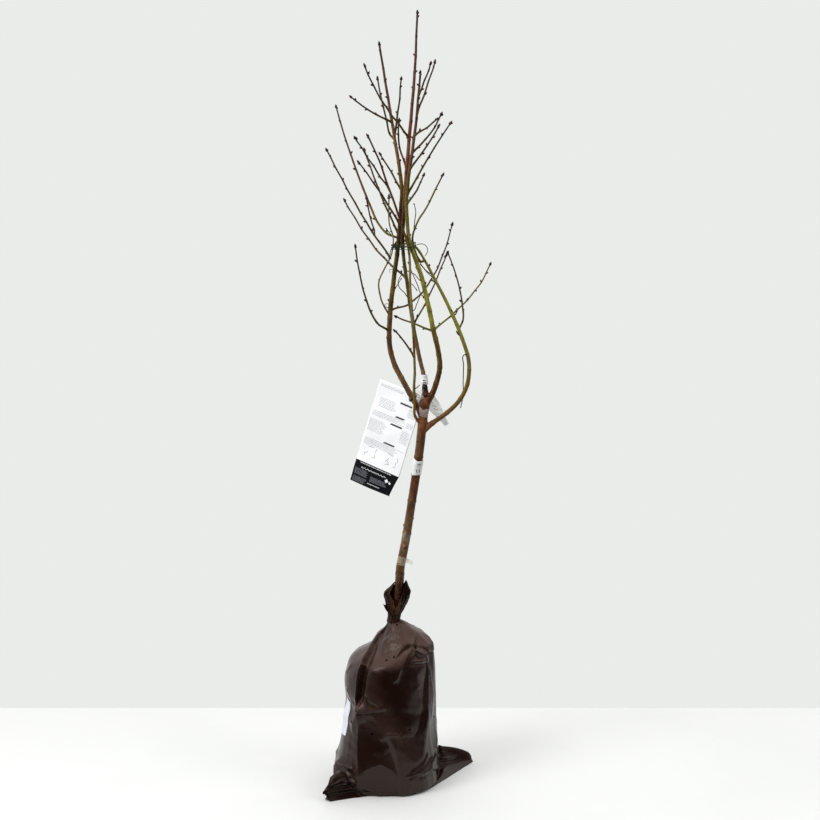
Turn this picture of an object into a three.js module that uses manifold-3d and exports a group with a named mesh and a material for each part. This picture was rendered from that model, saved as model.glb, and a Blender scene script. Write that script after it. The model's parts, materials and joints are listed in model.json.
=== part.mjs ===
// A bare fruit-tree sapling: a leaning trunk that forks into four boughs, drawn together by a
// string tie below a sheaf of thin shoots, on a root ball wrapped in a tied plastic bag.
// Millimetres, +Z up, origin at the middle of the flat underside of the wrapped root ball.
import * as THREE from 'three';
import { mergeVertices } from 'three/addons/utils/BufferGeometryUtils.js';
import Module from 'manifold-3d';

const wasm = await Module();
wasm.setup();

// ---------------------------------------------------------------- driving dimensions
const GAP = 0.3;                    // clearance between touching pieces
const CUT_EASE = 0.02;              // added to it where one piece is cut to fit another
const BAND_EASE = 0.15;             // added to it where a band wraps a limb's flat facets
const TIE_HEIGHT = 1083;            // middle of the string tie
const LEADER_START = TIE_HEIGHT + 14;
const STEP_LENGTH = 30;             // spacing of rings along a bough
const SHOOT_STEPS = 6;
const SHOOT_SIDES = 6;
const SHOOT_FOOT_RADIUS = 1.7;
const SHOOT_TIP_RADIUS = 1.1;
const SHOOT_SHARE = 0.8;            // most that a shoot's foot may be of the limb it leaves

const TRUNK = {
  foot: [3, 0, 262],                // flat cut on the soil, inside the bag
  through: [[12, 0, 333], [23.5, 0, 408], [26.6, 0, 448], [32, 0, 476], [49, 0, 578], [65, 0, 693]],
  tip: [74, 0, 780],
  radii: [[0, 16], [0.05, 12], [0.12, 9.4], [0.3, 8.8], [0.6, 8.4], [0.85, 8.9], [1, 9.8]],
  sides: 14,
};

// Boughs leave the trunk at a height, bow outward, meet at the tie and rise as leaders.
const LEFT_STEM = {
  leaves: 752,
  through: [[49, -3, 788], [9, -10, 871], [5, -10, 927], [17, 4, 1045], [22, 4, TIE_HEIGHT],
    [26, 7, 1135], [29, 9, 1192], [14, 8, 1297], [-2, 5, 1395]],
  tip: [-14, 2, 1471],
  radii: [[0, 5.8], [0.45, 4.4], [0.6, 3.3], [1, 1.6]],
  partings: [900, LEADER_START],
};
const RIGHT_STEM = {
  leaves: 768,
  through: [[94, -2, 807], [103, -4, 858], [94, -5, 904], [64, -5, 1035], [46, -4, TIE_HEIGHT],
    [39, -11, 1139], [40, -12, 1195], [55, -12, 1305]],
  tip: [65, -12, 1417],
  radii: [[0, 5.4], [0.45, 4.4], [0.55, 3.5], [1, 1.6]],
  partings: [880, LEADER_START],
};
const CENTRE_STEM = {
  leaves: 772,
  through: [[74, 6, 812], [56, 18, 899], [36, -2, 1036], [31, -3, TIE_HEIGHT], [34, -3, 1160],
    [41, 0, 1257], [54, 5, 1414]],
  tip: [59, 8, 1529],
  radii: [[0, 6], [0.04, 5.7], [0.055, 4.3], [0.4, 3.5], [0.7, 2.9], [1, 1.6]],
  partings: [LEADER_START],
};
const FAR_RIGHT_STEM = {
  leaves: 722,
  through: [[120, 7, 757], [151, 11, 793], [161, 12, 847], [144, 12, 909], [96, 12, 1012],
    [53, 9, TIE_HEIGHT], [30, 13, 1094], [-6, 14, 1111], [-36, 20, 1169], [-84, 38, 1300]],
  tip: [-99, 50, 1353],
  radii: [[0, 4.8], [0.35, 3.6], [0.5, 2.6], [1, 1.2]],
  partings: [860, LEADER_START],
};
const FRONT_STEM = {
  leaves: 692,
  through: [[57, -9, 736], [53, -16, 796], [54, -28, 856], [51, -34, 919], [45, -24, 1018],
    [43, -12, 1072], [24, -15, 1140], [0, -30, 1208], [-15, -48, 1252]],
  tip: [-37, -68, 1299],
  radii: [[0, 2.7], [0.6, 2.3], [1, 1.3]],
  partings: [LEADER_START],
};
const RIGHT_FORK_STEM = {
  leaves: 1006,
  through: [[76, 3, 1040], [56, 2, 1070], [50, 0, 1095], [53, -4, 1118], [69, -14, 1144]],
  tip: [110, -45, 1226],
  radii: [[0, 2.6], [0.4, 2], [1, 1.2]],
  partings: [LEADER_START],
};
const TUCKED_STEM = {
  leaves: 962,
  through: [[-13, -16, 987], [-15, -18, 1012], [2, -14, 1054], [15, -10, TIE_HEIGHT],
    [6, -12, 1120]],
  tip: [5, -18, 1185],
  radii: [[0, 1.7], [1, 1.1]],
  partings: [LEADER_START],
};

// Each shoot: [stem it grows on, height it leaves at, tip, outward bow, place of the bow 0..1].
const LOW_SHOOTS = {
  low_left_shoot: ['left', 919, [-59, -72, 1094], 25, 0.2],
  long_left_shoot: ['centre', 1030, [-113, -82, 1273], 12, 0.2],
  long_left_side_shoot: ['long_left_shoot', 1086, [-38, -62, 1185], 7, 0.4],
  back_left_shoot: ['centre', 1028, [-87, 92, 1171], 16, 0.3],
  inner_left_shoot: ['front', 867, [11, -38, 927], -4, 0.7],
  inner_right_shoot: ['right', 919, [12, 6, 948], 1, 0.6],
  low_right_shoot_1: ['left', 959, [130, 72, 1126], 36, 0.3],
  low_right_shoot_2: ['centre', 932, [118, 34, 1069], 6, 0.2],
  low_right_shoot_3: ['far_right', 906, [115, -42, 1078], -25, 0.3],
  low_right_shoot_4: ['right', 921, [206, 72, 1047], 15, 0.65],
};
const MIDDLE_SHOOTS = {
  middle_left_shoot_1: ['front', 1192, [-60, -84, 1295], 1, 0.4],
  middle_left_shoot_2: ['left', 1107, [-45, 42, 1271], 5, 0.35],
  middle_left_shoot_3: ['left', 1123, [-57, -10, 1248], -3, 0.45],
  middle_left_shoot_4: ['left', 1184, [-16, 24, 1263], -2, 0.3],
  middle_right_shoot_1: ['right', 1163, [74, 38, 1223], 5, 0.55],
  middle_right_shoot_2: ['right', 1178, [126, -2, 1322], -3, 0.5],
  middle_right_shoot_3: ['right', 1230, [102, -42, 1317], 3, 0.65],
  middle_right_shoot_4: ['right', 1265, [108, 26, 1339], 8, 0.35],
  middle_right_shoot_5: ['right', 1294, [99, -56, 1328], 2, 0.7],
};
const TOP_SHOOTS = {
  top_left_shoot_1: ['centre', 1291, [-42, -46, 1429], 9, 0.55],
  top_left_shoot_2: ['left', 1237, [-18, 22, 1407], 3, 0.7],
  top_left_shoot_3: ['left', 1320, [-70, -46, 1369], 5, 0.4],
  top_inner_shoot_1: ['left', 1295, [29, 24, 1406], 3, 0.3],
  top_inner_shoot_2: ['centre', 1234, [25, 14, 1328], 12, 0.5],
  top_right_shoot_1: ['right', 1334, [94, 26, 1438], 2, 0.6],
  top_right_shoot_2: ['right', 1368, [85, -44, 1433], 2, 0.7],
};

// The wrapped root ball: [height, half width, half depth, middle x] from the floor to the neck.
const NECK_HEIGHT = 334;
const BAG_RINGS = [[0, 99, 96, -5], [5, 105, 102, -5], [40, 108, 108, -2], [100, 102, 104, 3],
  [165, 95, 99, 5], [230, 93, 94, 2], [262, 86, 88, 9], [288, 64, 68, 27], [308, 44, 46, 27],
  [324, 25, 26, 22], [NECK_HEIGHT, 14, 14, 15]];
const BAG_SIDES = 36;
const SEAM_ANGLE = THREE.MathUtils.degToRad(36);   // the bag's bottom seam, seen from above
const SEAM_PULL = 0.1;                             // how far the seam draws the foot to its ends
const SEAM_REACH = 190;                            // height at which that pull has died away

// Folded corners: each is a fin from the ball out to its tip, with its height, half width and tilt.
const CORNERS = {
  bag_corner_left: {
    angle: 226, reach: [78, 164], height: [58, 36], half: [72, 4], sagging: 0.8, narrowing: 0.7,
    overhang: 13,
  },
  bag_corner_right: {
    angle: 28.5, reach: [84, 206], height: [60, 16], half: [70, 3], sagging: 1.6, narrowing: 1,
    overhang: 0,
  },
};
const FIN_OUTLINE = [[-1, 0], [-0.64, 0.5], [-0.26, 0.88], [0, 1], [0.26, 0.88], [0.64, 0.5], [1, 0]];
const FIN_STEPS = 5;
const COLLAR = {
  wall: 1.2, footRadius: 14, rimRadius: 26, frontFlare: 0.25, rimShift: -3.8, frontRim: 350,
  sideRim: 388, backRim: 413, sides: 24, steps: 4,
};
const BAG_LABEL = { low: [-150, -46, 101], high: [-60, 24, 169], thickness: 0.6 };

// Labels, tape, tie and leaflet.
const CARD = {
  width: 105, height: 216, thickness: 0.8, corner: [72, 15, 785], lean: 15.3, tilt: -7.2, turn: 30,
};
const STRAP = { radius: 1, halfWidth: 8.2, back: 37, height: 785, slope: 38, steps: 26, sides: 6 };
const TRUNK_LABEL = { stem: 'trunk', from: 634, to: 659, slack: 1.6, wall: 0.5, side: [-1, 0, 0] };
const FORK_LABEL = { stem: 'centre', from: 814, to: 829, slack: 1.6, wall: 0.5, side: [1, 0, 0] };
const TRUNK_TAPE = { stem: 'trunk', from: 451, to: 464, slack: 0.1, wall: 0.5, side: [1, 0, 0] };
const FILM_TAG = { length: 72, width: 22, thickness: 0.5, middle: [99, 11.5, 757], slope: 56 };
const TIE = { middle: [35, 1], half: [23.5, 19], height: 9, wall: 2.6, sides: 28 };
const TIE_LOOP = {
  radius: 1, from: [59.4, 1, 1086], through: [[70, -4, 1086], [79, -7, 1077]], to: [73, -10, 1064],
  steps: 10,
};

// ---------------------------------------------------------------- finishes
const finish = (color, roughness) => new THREE.MeshStandardMaterial({ color, roughness, metalness: 0 });
const BARK = { color: 0x6a4636, roughness: 0.75 };
const OLIVE_BARK = { color: 0x5d5a30, roughness: 0.65 };
const GREEN_BARK = { color: 0x808a3c, roughness: 0.6 };
const TWIG_BARK = { color: 0x4a3530, roughness: 0.65 };
const BAG_FILM = { color: 0x2a1a17, roughness: 0.35 };
const PAPER = { color: 0xe9eaee, roughness: 0.7 };
const CLEAR_FILM = { color: 0xdcdcdc, roughness: 0.25 };
const STRING = { color: 0x2f3a32, roughness: 0.8 };

// ---------------------------------------------------------------- solids
/** A closed body through rings of points that all run the same way round, with both ends capped. */
function loft(rings) {
  const sides = rings[0].length;
  const points = rings.flat();
  const faces = [];
  for (let row = 0; row < rings.length - 1; row += 1) {
    for (let side = 0; side < sides; side += 1) {
      const next = (side + 1) % sides;
      const low = row * sides;
      faces.push(low + side, low + next, low + sides + next);
      faces.push(low + side, low + sides + next, low + sides + side);
    }
  }
  const last = (rings.length - 1) * sides;
  const ends = [[0, rings[0], (a, b, c) => [c, b, a]], [last, rings.at(-1), (a, b, c) => [a, b, c]]];
  for (const [start, ring, order] of ends) {
    const middle = ring.reduce((sum, point) => sum.add(point), new THREE.Vector3());
    const hub = points.push(middle.divideScalar(sides)) - 1;
    for (let side = 0; side < sides; side += 1) {
      faces.push(...order(hub, start + side, start + ((side + 1) % sides)));
    }
  }
  return closedGeometry(points, faces);
}

/** A closed tube wall between an outer and an inner stack of rings. */
function sleeve(outer, inner) {
  const loop = [...outer, ...inner.slice().reverse()];
  const sides = outer[0].length;
  const points = loop.flat();
  const faces = [];
  for (let row = 0; row < loop.length; row += 1) {
    const low = row * sides;
    const high = ((row + 1) % loop.length) * sides;
    for (let side = 0; side < sides; side += 1) {
      const next = (side + 1) % sides;
      faces.push(low + side, low + next, high + next);
      faces.push(low + side, high + next, high + side);
    }
  }
  return closedGeometry(points, faces);
}

function closedGeometry(points, faces) {
  const geometry = new THREE.BufferGeometry().setFromPoints(points);
  geometry.setIndex(faces);
  return geometry;
}

const SAME_POINT = 1e-5;

function toSolid(geometry) {
  const bare = geometry.clone();
  bare.deleteAttribute('normal');
  bare.deleteAttribute('uv');
  const merged = mergeVertices(bare, SAME_POINT);
  const vertProperties = new Float32Array(merged.getAttribute('position').array);
  const triVerts = new Uint32Array(merged.getIndex().array);
  return new wasm.Manifold(new wasm.Mesh({ numProp: 3, vertProperties, triVerts }));
}

function toGeometry(solid) {
  const mesh = solid.getMesh();
  const geometry = new THREE.BufferGeometry();
  geometry.setAttribute('position', new THREE.BufferAttribute(mesh.vertProperties, 3));
  geometry.setIndex(new THREE.BufferAttribute(mesh.triVerts, 1));
  return geometry;
}

const cutAway = (solid, tools) => tools.reduce((rest, tool) => rest.subtract(tool), solid);

// ---------------------------------------------------------------- limbs
/** Value at t in a list of [place, value] pairs, straight between them. */
function profile(pairs, t) {
  for (let index = 1; index < pairs.length; index += 1) {
    const [start, low] = pairs[index - 1];
    const [end, high] = pairs[index];
    if (t <= end) return THREE.MathUtils.mapLinear(t, start, end, low, high);
  }
  return pairs.at(-1)[1];
}

const HALVINGS = 40;          // steps of the search for a height along a limb
const SAME_PLACE = 1e-6;
const BEND_SHARE = 0.4;       // share of a step within which a bend in the radii takes a ring's place

/** A tapering limb along a curve, whole or as the stretch between two places on it. */
class Limb {
  constructor(curve, radii, sides, steps, partings = []) {
    Object.assign(this, { curve, radii, sides, steps });
    this.frames = curve.computeFrenetFrames(steps, false);
    this.partings = [0, ...partings.map((height) => this.placeAt(height)), 1];
    const even = Array.from({ length: steps + 1 }, (_, step) => step / steps);
    const bends = radii.map(([place]) => place);
    const nearBend = (place) => bends.some((bend) => Math.abs(bend - place) < BEND_SHARE / steps);
    const rows = [...even.filter((place) => !nearBend(place)), ...bends, ...this.partings];
    this.places = [...new Set(rows)].sort((a, b) => a - b);
  }

  /** Place 0..1 along the limb where it reaches a height. */
  placeAt(height) {
    let low = 0;
    let high = 1;
    for (let turn = 0; turn < HALVINGS; turn += 1) {
      const middle = (low + high) / 2;
      if (this.curve.getPointAt(middle).z < height) low = middle;
      else high = middle;
    }
    return low;
  }

  pointAt(height) {
    return this.curve.getPointAt(this.placeAt(height));
  }

  ring(place, extra) {
    const index = Math.min(this.steps - 1, Math.floor(place * this.steps));
    const blend = place * this.steps - index;
    const centre = this.curve.getPointAt(place);
    const across = this.frames.normals[index].clone().lerp(this.frames.normals[index + 1], blend);
    const along = this.curve.getTangentAt(place);
    across.addScaledVector(along, -across.dot(along)).normalize();
    const up = new THREE.Vector3().crossVectors(along, across);
    const radius = profile(this.radii, place) + extra;
    return Array.from({ length: this.sides }, (_, side) => {
      const angle = (2 * Math.PI * side) / this.sides;
      const point = centre.clone().addScaledVector(across, radius * Math.cos(angle));
      return point.addScaledVector(up, radius * Math.sin(angle));
    });
  }

  /** The solid from place start to place end. */
  solid(start = 0, end = 1) {
    const inside = (place) => place > start + SAME_PLACE && place < end - SAME_PLACE;
    const between = this.places.filter(inside);
    return toSolid(loft([start, ...between, end].map((place) => this.ring(place, 0))));
  }

  /** The whole limb grown by the clearance that what grows from it keeps. */
  clearance() {
    const rings = this.places.map((place) => this.ring(place, GAP + CUT_EASE));
    const push = (ring, place, distance) => {
      const along = this.curve.getTangentAt(place).multiplyScalar(distance);
      return ring.map((point) => point.clone().add(along));
    };
    return toSolid(loft([push(rings[0], 0, -GAP), ...rings, push(rings.at(-1), 1, GAP)]));
  }

  /** A band round the limb between two heights, hanging loose towards one side. */
  band({ from, to, slack, wall, side }) {
    const shift = new THREE.Vector3(...side).multiplyScalar(slack);
    const [start, end] = [this.placeAt(from), this.placeAt(to)];
    const rows = [start, ...this.places.filter((place) => place > start && place < end), end];
    const shifted = (ring) => ring.map((point) => point.add(shift));
    const wrap = (extra) => rows.map((place) => shifted(this.ring(place, extra)));
    const inside = slack + GAP + BAND_EASE;
    return sleeve(wrap(inside + wall), wrap(inside));
  }
}

const vector = (point) => new THREE.Vector3(...point);
const limbs = {};
const clearances = {};

function addStem(name, parent, spec, sides) {
  const foot = parent ? limbs[parent].pointAt(spec.leaves) : vector(spec.foot);
  const points = [foot, ...spec.through.map(vector), vector(spec.tip)];
  const curve = new THREE.CatmullRomCurve3(points, false, 'centripetal');
  const steps = Math.round(curve.getLength() / STEP_LENGTH);
  limbs[name] = new Limb(curve, spec.radii, sides, steps, spec.partings);
  clearances[name] = limbs[name].clearance();
}

/** A shoot bows once, outward and down from the straight line between its foot and its tip. */
function addShoot(name, [parent, height, tip, bow, bowAt]) {
  const foot = limbs[parent].pointAt(height);
  const chord = vector(tip).sub(foot);
  const sag = new THREE.Vector3(chord.x, chord.y, 0).normalize().multiplyScalar(chord.z);
  sag.setZ(-Math.hypot(chord.x, chord.y)).normalize();
  const knee = foot.clone().addScaledVector(chord, bowAt).addScaledVector(sag, 2 * bow);
  const curve = new THREE.QuadraticBezierCurve3(foot, knee, vector(tip));
  const parentRadius = profile(limbs[parent].radii, limbs[parent].placeAt(height));
  const footRadius = Math.min(SHOOT_FOOT_RADIUS, SHOOT_SHARE * parentRadius);
  const radii = [[0, footRadius], [1, Math.min(SHOOT_TIP_RADIUS, footRadius)]];
  limbs[name] = new Limb(curve, radii, SHOOT_SIDES, SHOOT_STEPS);
  clearances[name] = limbs[name].clearance();
}

// ---------------------------------------------------------------- the assembly
const sapling = new THREE.Group();

function addPiece(name, shape, look) {
  const geometry = shape.isBufferGeometry ? shape : toGeometry(shape);
  geometry.computeVertexNormals();
  const mesh = new THREE.Mesh(geometry, finish(look.color, look.roughness));
  mesh.name = name;
  sapling.add(mesh);
  return mesh;
}

/** Adds one stem as a row of pieces, one for each stretch between partings, cut clear of its feet. */
function addStemPieces(stem, names, look, neighbours) {
  const limb = limbs[stem];
  const half = GAP / 2 / limb.curve.getLength();
  names.forEach((name, index) => {
    const start = index === 0 ? 0 : limb.partings[index] + half;
    const end = index === names.length - 1 ? 1 : limb.partings[index + 1] - half;
    const tools = index === 0 ? neighbours.map((neighbour) => clearances[neighbour]) : [];
    addPiece(name, cutAway(limb.solid(start, end), tools), look);
  });
}

// Trunk and boughs.
const BOUGH_SIDES = 10;
const THIN_SIDES = 8;
addStem('trunk', null, TRUNK, TRUNK.sides);
addStem('left', 'trunk', LEFT_STEM, BOUGH_SIDES);
addStem('right', 'trunk', RIGHT_STEM, BOUGH_SIDES);
addStem('centre', 'trunk', CENTRE_STEM, BOUGH_SIDES);
addStem('far_right', 'trunk', FAR_RIGHT_STEM, BOUGH_SIDES);
addStem('front', 'trunk', FRONT_STEM, THIN_SIDES);
addStem('right_fork', 'far_right', RIGHT_FORK_STEM, THIN_SIDES);
addStem('tucked', 'left', TUCKED_STEM, SHOOT_SIDES);

addPiece('trunk', limbs.trunk.solid(), BARK);
addStemPieces('left', ['left_bough_lower', 'left_bough_upper', 'left_leader'], BARK, ['trunk']);
addStemPieces('right', ['right_bough_lower', 'right_bough_upper', 'right_leader'], BARK, ['trunk']);
addStemPieces('centre', ['centre_bough', 'tall_leader'], BARK, ['trunk', 'right']);
addStemPieces('far_right', ['far_right_bough_lower', 'far_right_bough_upper', 'crossing_leader'],
  OLIVE_BARK, ['trunk']);
addStemPieces('front', ['front_stem', 'front_leader'], GREEN_BARK, ['trunk']);
addStemPieces('right_fork', ['right_fork', 'right_fork_leader'], GREEN_BARK, ['far_right']);
addStemPieces('tucked', ['tucked_shoot', 'tucked_leader'], TWIG_BARK, ['left']);

// Shoots.
for (const [name, spec] of Object.entries({ ...LOW_SHOOTS, ...MIDDLE_SHOOTS, ...TOP_SHOOTS })) {
  addShoot(name, spec);
  addPiece(name, cutAway(limbs[name].solid(), [clearances[spec[0]]]), TWIG_BARK);
}

// Root ball in its bag.
/** One level ring of the bag, its foot drawn out towards both ends of the bottom seam. */
function bagRing([height, halfWidth, halfDepth, middle], extra) {
  const pull = SEAM_PULL * Math.max(0, 1 - height / SEAM_REACH);
  return Array.from({ length: BAG_SIDES }, (_, side) => {
    const angle = (2 * Math.PI * side) / BAG_SIDES;
    const stretch = 1 + pull * Math.cos(angle - SEAM_ANGLE) ** 6;
    const x = middle + (halfWidth + extra) * stretch * Math.cos(angle);
    const y = (halfDepth + extra) * stretch * Math.sin(angle);
    return new THREE.Vector3(x, y, height);
  });
}

const bagSolid = (extra) => toSolid(loft(BAG_RINGS.map((ring) => bagRing(ring, extra))));
addPiece('root_ball_bag', bagSolid(0).subtract(clearances.trunk), BAG_FILM);

/** A folded corner of the bag: a low fin that narrows from the ball out to its tip. */
function bagCorner({ angle, reach, height, half, sagging, narrowing, overhang }) {
  const heading = THREE.MathUtils.degToRad(angle);
  const outward = new THREE.Vector3(Math.cos(heading), Math.sin(heading), 0);
  const sideways = new THREE.Vector3(-outward.y, outward.x, 0);
  const footMiddle = BAG_RINGS[0][3];
  const rings = Array.from({ length: FIN_STEPS + 1 }, (_, step) => {
    const t = step / FIN_STEPS;
    const rise = THREE.MathUtils.lerp(height[0], height[1], t ** sagging);
    const thick = THREE.MathUtils.lerp(half[0], half[1], t ** narrowing);
    const distance = THREE.MathUtils.lerp(reach[0], reach[1], t);
    return FIN_OUTLINE.map(([across, up]) => {
      const point = new THREE.Vector3(footMiddle, 0, up * rise);
      point.addScaledVector(outward, distance + overhang * up * t);
      return point.addScaledVector(sideways, across * thick);
    });
  });
  return toSolid(loft(rings.map((ring) => ring.reverse()))).subtract(bagSolid(GAP));
}

for (const [name, spec] of Object.entries(CORNERS)) addPiece(name, bagCorner(spec), BAG_FILM);

/** The bag's open cuff above the neck: low at the front, flared at the sides, high at the back. */
function collarRings(inset) {
  return Array.from({ length: COLLAR.steps + 1 }, (_, step) => {
    const t = step / COLLAR.steps;
    return Array.from({ length: COLLAR.sides }, (_, side) => {
      const angle = (2 * Math.PI * side) / COLLAR.sides;
      const back = (1 + Math.sin(angle)) / 2;
      const sideways = Math.abs(Math.cos(angle));
      const endRim = THREE.MathUtils.lerp(COLLAR.frontRim, COLLAR.backRim, back);
      const rim = THREE.MathUtils.lerp(endRim, COLLAR.sideRim, sideways);
      const flare = THREE.MathUtils.lerp(COLLAR.frontFlare, 1, sideways) * t;
      const radius = THREE.MathUtils.lerp(COLLAR.footRadius, COLLAR.rimRadius, flare) - inset;
      const point = limbs.trunk.pointAt(THREE.MathUtils.lerp(NECK_HEIGHT + GAP, rim, t));
      point.x += radius * Math.cos(angle) + COLLAR.rimShift * flare;
      point.y += radius * Math.sin(angle);
      return point;
    });
  });
}

const collar = toSolid(sleeve(collarRings(0), collarRings(COLLAR.wall)));
addPiece('bag_collar', collar.subtract(clearances.trunk), BAG_FILM);

const labelSpan = vector(BAG_LABEL.high).sub(vector(BAG_LABEL.low));
const labelMiddle = vector(BAG_LABEL.low).addScaledVector(labelSpan, 1 / 2);
const labelBox = new THREE.BoxGeometry(...labelSpan).translate(...labelMiddle);
const labelShell = bagSolid(GAP + BAG_LABEL.thickness).subtract(bagSolid(GAP));
addPiece('bag_label', labelShell.intersect(toSolid(labelBox)), PAPER);

// Labels, tape, tie and leaflet.
addPiece('trunk_label', limbs.trunk.band(TRUNK_LABEL), PAPER);
addPiece('fork_label', limbs.centre.band(FORK_LABEL), PAPER);
addPiece('trunk_tape', limbs.trunk.band(TRUNK_TAPE), CLEAR_FILM);

const filmTag = new THREE.BoxGeometry(FILM_TAG.length, FILM_TAG.thickness, FILM_TAG.width);
filmTag.rotateY(THREE.MathUtils.degToRad(FILM_TAG.slope));
filmTag.translate(...FILM_TAG.middle);
addPiece('film_tag', filmTag, CLEAR_FILM);

/** A closed flattened loop round the left bough, through the leaflet behind it. */
function strapSolid(extra) {
  const slope = THREE.MathUtils.degToRad(STRAP.slope);
  const across = new THREE.Vector3(Math.cos(slope), 0, Math.sin(slope));
  const bough = limbs.left.pointAt(STRAP.height);
  const boughRadius = profile(LEFT_STEM.radii, limbs.left.placeAt(STRAP.height));
  const front = bough.y - boughRadius - 2 * GAP - STRAP.radius;
  const centre = bough.clone().setY((front + STRAP.back) / 2);
  const halfDepth = (STRAP.back - front) / 2 - STRAP.halfWidth;
  const spine = Array.from({ length: STRAP.steps }, (_, step) => {
    const angle = (2 * Math.PI * (step + 0.5)) / STRAP.steps;
    const point = centre.clone().addScaledVector(across, STRAP.halfWidth * Math.cos(angle));
    point.y += STRAP.halfWidth * Math.sin(angle) + halfDepth * Math.sign(Math.sin(angle));
    return point;
  });
  const curve = new THREE.CatmullRomCurve3(spine, true, 'centripetal');
  return toSolid(new THREE.TubeGeometry(curve, STRAP.steps, STRAP.radius + extra, STRAP.sides, true));
}

const card = new THREE.BoxGeometry(CARD.width, CARD.thickness, CARD.height);
card.translate(-CARD.width / 2, 0, -CARD.height / 2);
card.rotateY(THREE.MathUtils.degToRad(CARD.lean));
card.rotateX(THREE.MathUtils.degToRad(CARD.tilt));
card.rotateZ(-THREE.MathUtils.degToRad(CARD.turn));
card.translate(...CARD.corner);
addPiece('care_card', toSolid(card).subtract(strapSolid(GAP)), PAPER);
addPiece('card_strap', strapSolid(0), STRING);

/** An oval band of string round the sheaf, pressed clear of every stem inside it. */
function tieBand() {
  const oval = (inset, height) => Array.from({ length: TIE.sides }, (_, side) => {
    const angle = (2 * Math.PI * side) / TIE.sides;
    const x = TIE.middle[0] + (TIE.half[0] - inset) * Math.cos(angle);
    return new THREE.Vector3(x, TIE.middle[1] + (TIE.half[1] - inset) * Math.sin(angle), height);
  });
  const heights = [TIE_HEIGHT - TIE.height / 2, TIE_HEIGHT + TIE.height / 2];
  const outer = heights.map((height) => oval(0, height));
  const inner = heights.map((height) => oval(TIE.wall, height));
  return toSolid(sleeve(outer, inner));
}

const tiedStems = ['left', 'right', 'centre', 'far_right', 'front', 'right_fork', 'tucked'];
addPiece('string_tie', cutAway(tieBand(), tiedStems.map((stem) => clearances[stem])), STRING);

const loosePoints = [TIE_LOOP.from, ...TIE_LOOP.through, TIE_LOOP.to].map(vector);
const looseRadii = [[0, TIE_LOOP.radius], [1, TIE_LOOP.radius]];
const looseCurve = new THREE.CatmullRomCurve3(loosePoints);
const looseEnd = new Limb(looseCurve, looseRadii, SHOOT_SIDES, TIE_LOOP.steps);
addPiece('string_end', looseEnd.solid(), STRING);

export default sapling;
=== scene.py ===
"""A bare fruit-tree sapling, its root ball in a tied plastic bag, dressed round its frame."""
import json
import logging
import math
from dataclasses import dataclass, field
from enum import Enum
from functools import partial
from typing import Callable, Iterable, Sequence

import bpy
import numpy as np
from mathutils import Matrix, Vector, kdtree

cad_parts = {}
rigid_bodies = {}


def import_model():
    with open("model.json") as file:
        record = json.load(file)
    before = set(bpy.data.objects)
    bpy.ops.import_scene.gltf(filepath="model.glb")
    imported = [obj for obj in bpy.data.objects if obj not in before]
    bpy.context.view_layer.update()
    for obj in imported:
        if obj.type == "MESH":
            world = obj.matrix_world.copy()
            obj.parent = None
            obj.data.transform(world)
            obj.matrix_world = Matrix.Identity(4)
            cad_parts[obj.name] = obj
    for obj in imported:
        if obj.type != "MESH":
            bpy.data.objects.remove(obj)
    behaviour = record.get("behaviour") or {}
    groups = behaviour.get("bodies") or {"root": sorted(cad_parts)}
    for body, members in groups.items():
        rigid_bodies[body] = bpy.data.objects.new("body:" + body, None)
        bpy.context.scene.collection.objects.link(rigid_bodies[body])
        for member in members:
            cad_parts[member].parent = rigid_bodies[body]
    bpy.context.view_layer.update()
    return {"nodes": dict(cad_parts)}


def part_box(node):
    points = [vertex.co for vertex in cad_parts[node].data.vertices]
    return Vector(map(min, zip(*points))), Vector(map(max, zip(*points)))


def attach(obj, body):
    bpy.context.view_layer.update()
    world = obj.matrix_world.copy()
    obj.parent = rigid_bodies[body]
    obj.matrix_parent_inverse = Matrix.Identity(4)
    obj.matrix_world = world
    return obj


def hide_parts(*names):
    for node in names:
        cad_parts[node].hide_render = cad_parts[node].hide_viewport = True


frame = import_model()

Array = np.ndarray
MM = 0.001                      # all shapes are worked out in millimetres
BODY = "root"
RADIAN = 57.3                   # degrees, near enough
RICHNESS, GREEN_RICHNESS, GAIN = 1.34, 1.1, 1.2     # how the wood's tones are strengthened
TIE_MIDDLE = (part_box("string_tie")[0].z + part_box("string_tie")[1].z) / 2 / MM
log = logging.getLogger("sapling")


# ---------------------------------------------------------------- numbers and curves
def shade(code: str, alpha: float = 1.0) -> tuple[float, float, float, float]:
    """Linear colour of a hex code such as 6a4636.

    Args:
        code: six hex digits.
        alpha: opacity.

    Returns:
        Red, green, blue and opacity.
    """
    parts = [int(code[at:at + 2], 16) / 255 for at in (0, 2, 4)]
    linear = [((part + 0.055) / 1.055) ** 2.4 if part > 0.04 else part / 12.92 for part in parts]
    return (*linear, alpha)


def unit(vectors: Array) -> Array:
    """Vectors brought to length one along their last axis."""
    return vectors / np.maximum(np.linalg.norm(vectors, axis=-1, keepdims=True), 1e-9)


def ease(low: float, high: float, values: Array | float) -> Array:
    """Smooth step from 0 at low to 1 at high."""
    share = np.clip((np.asarray(values, float) - low) / (high - low), 0, 1)
    return share * share * (3 - 2 * share)


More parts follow.
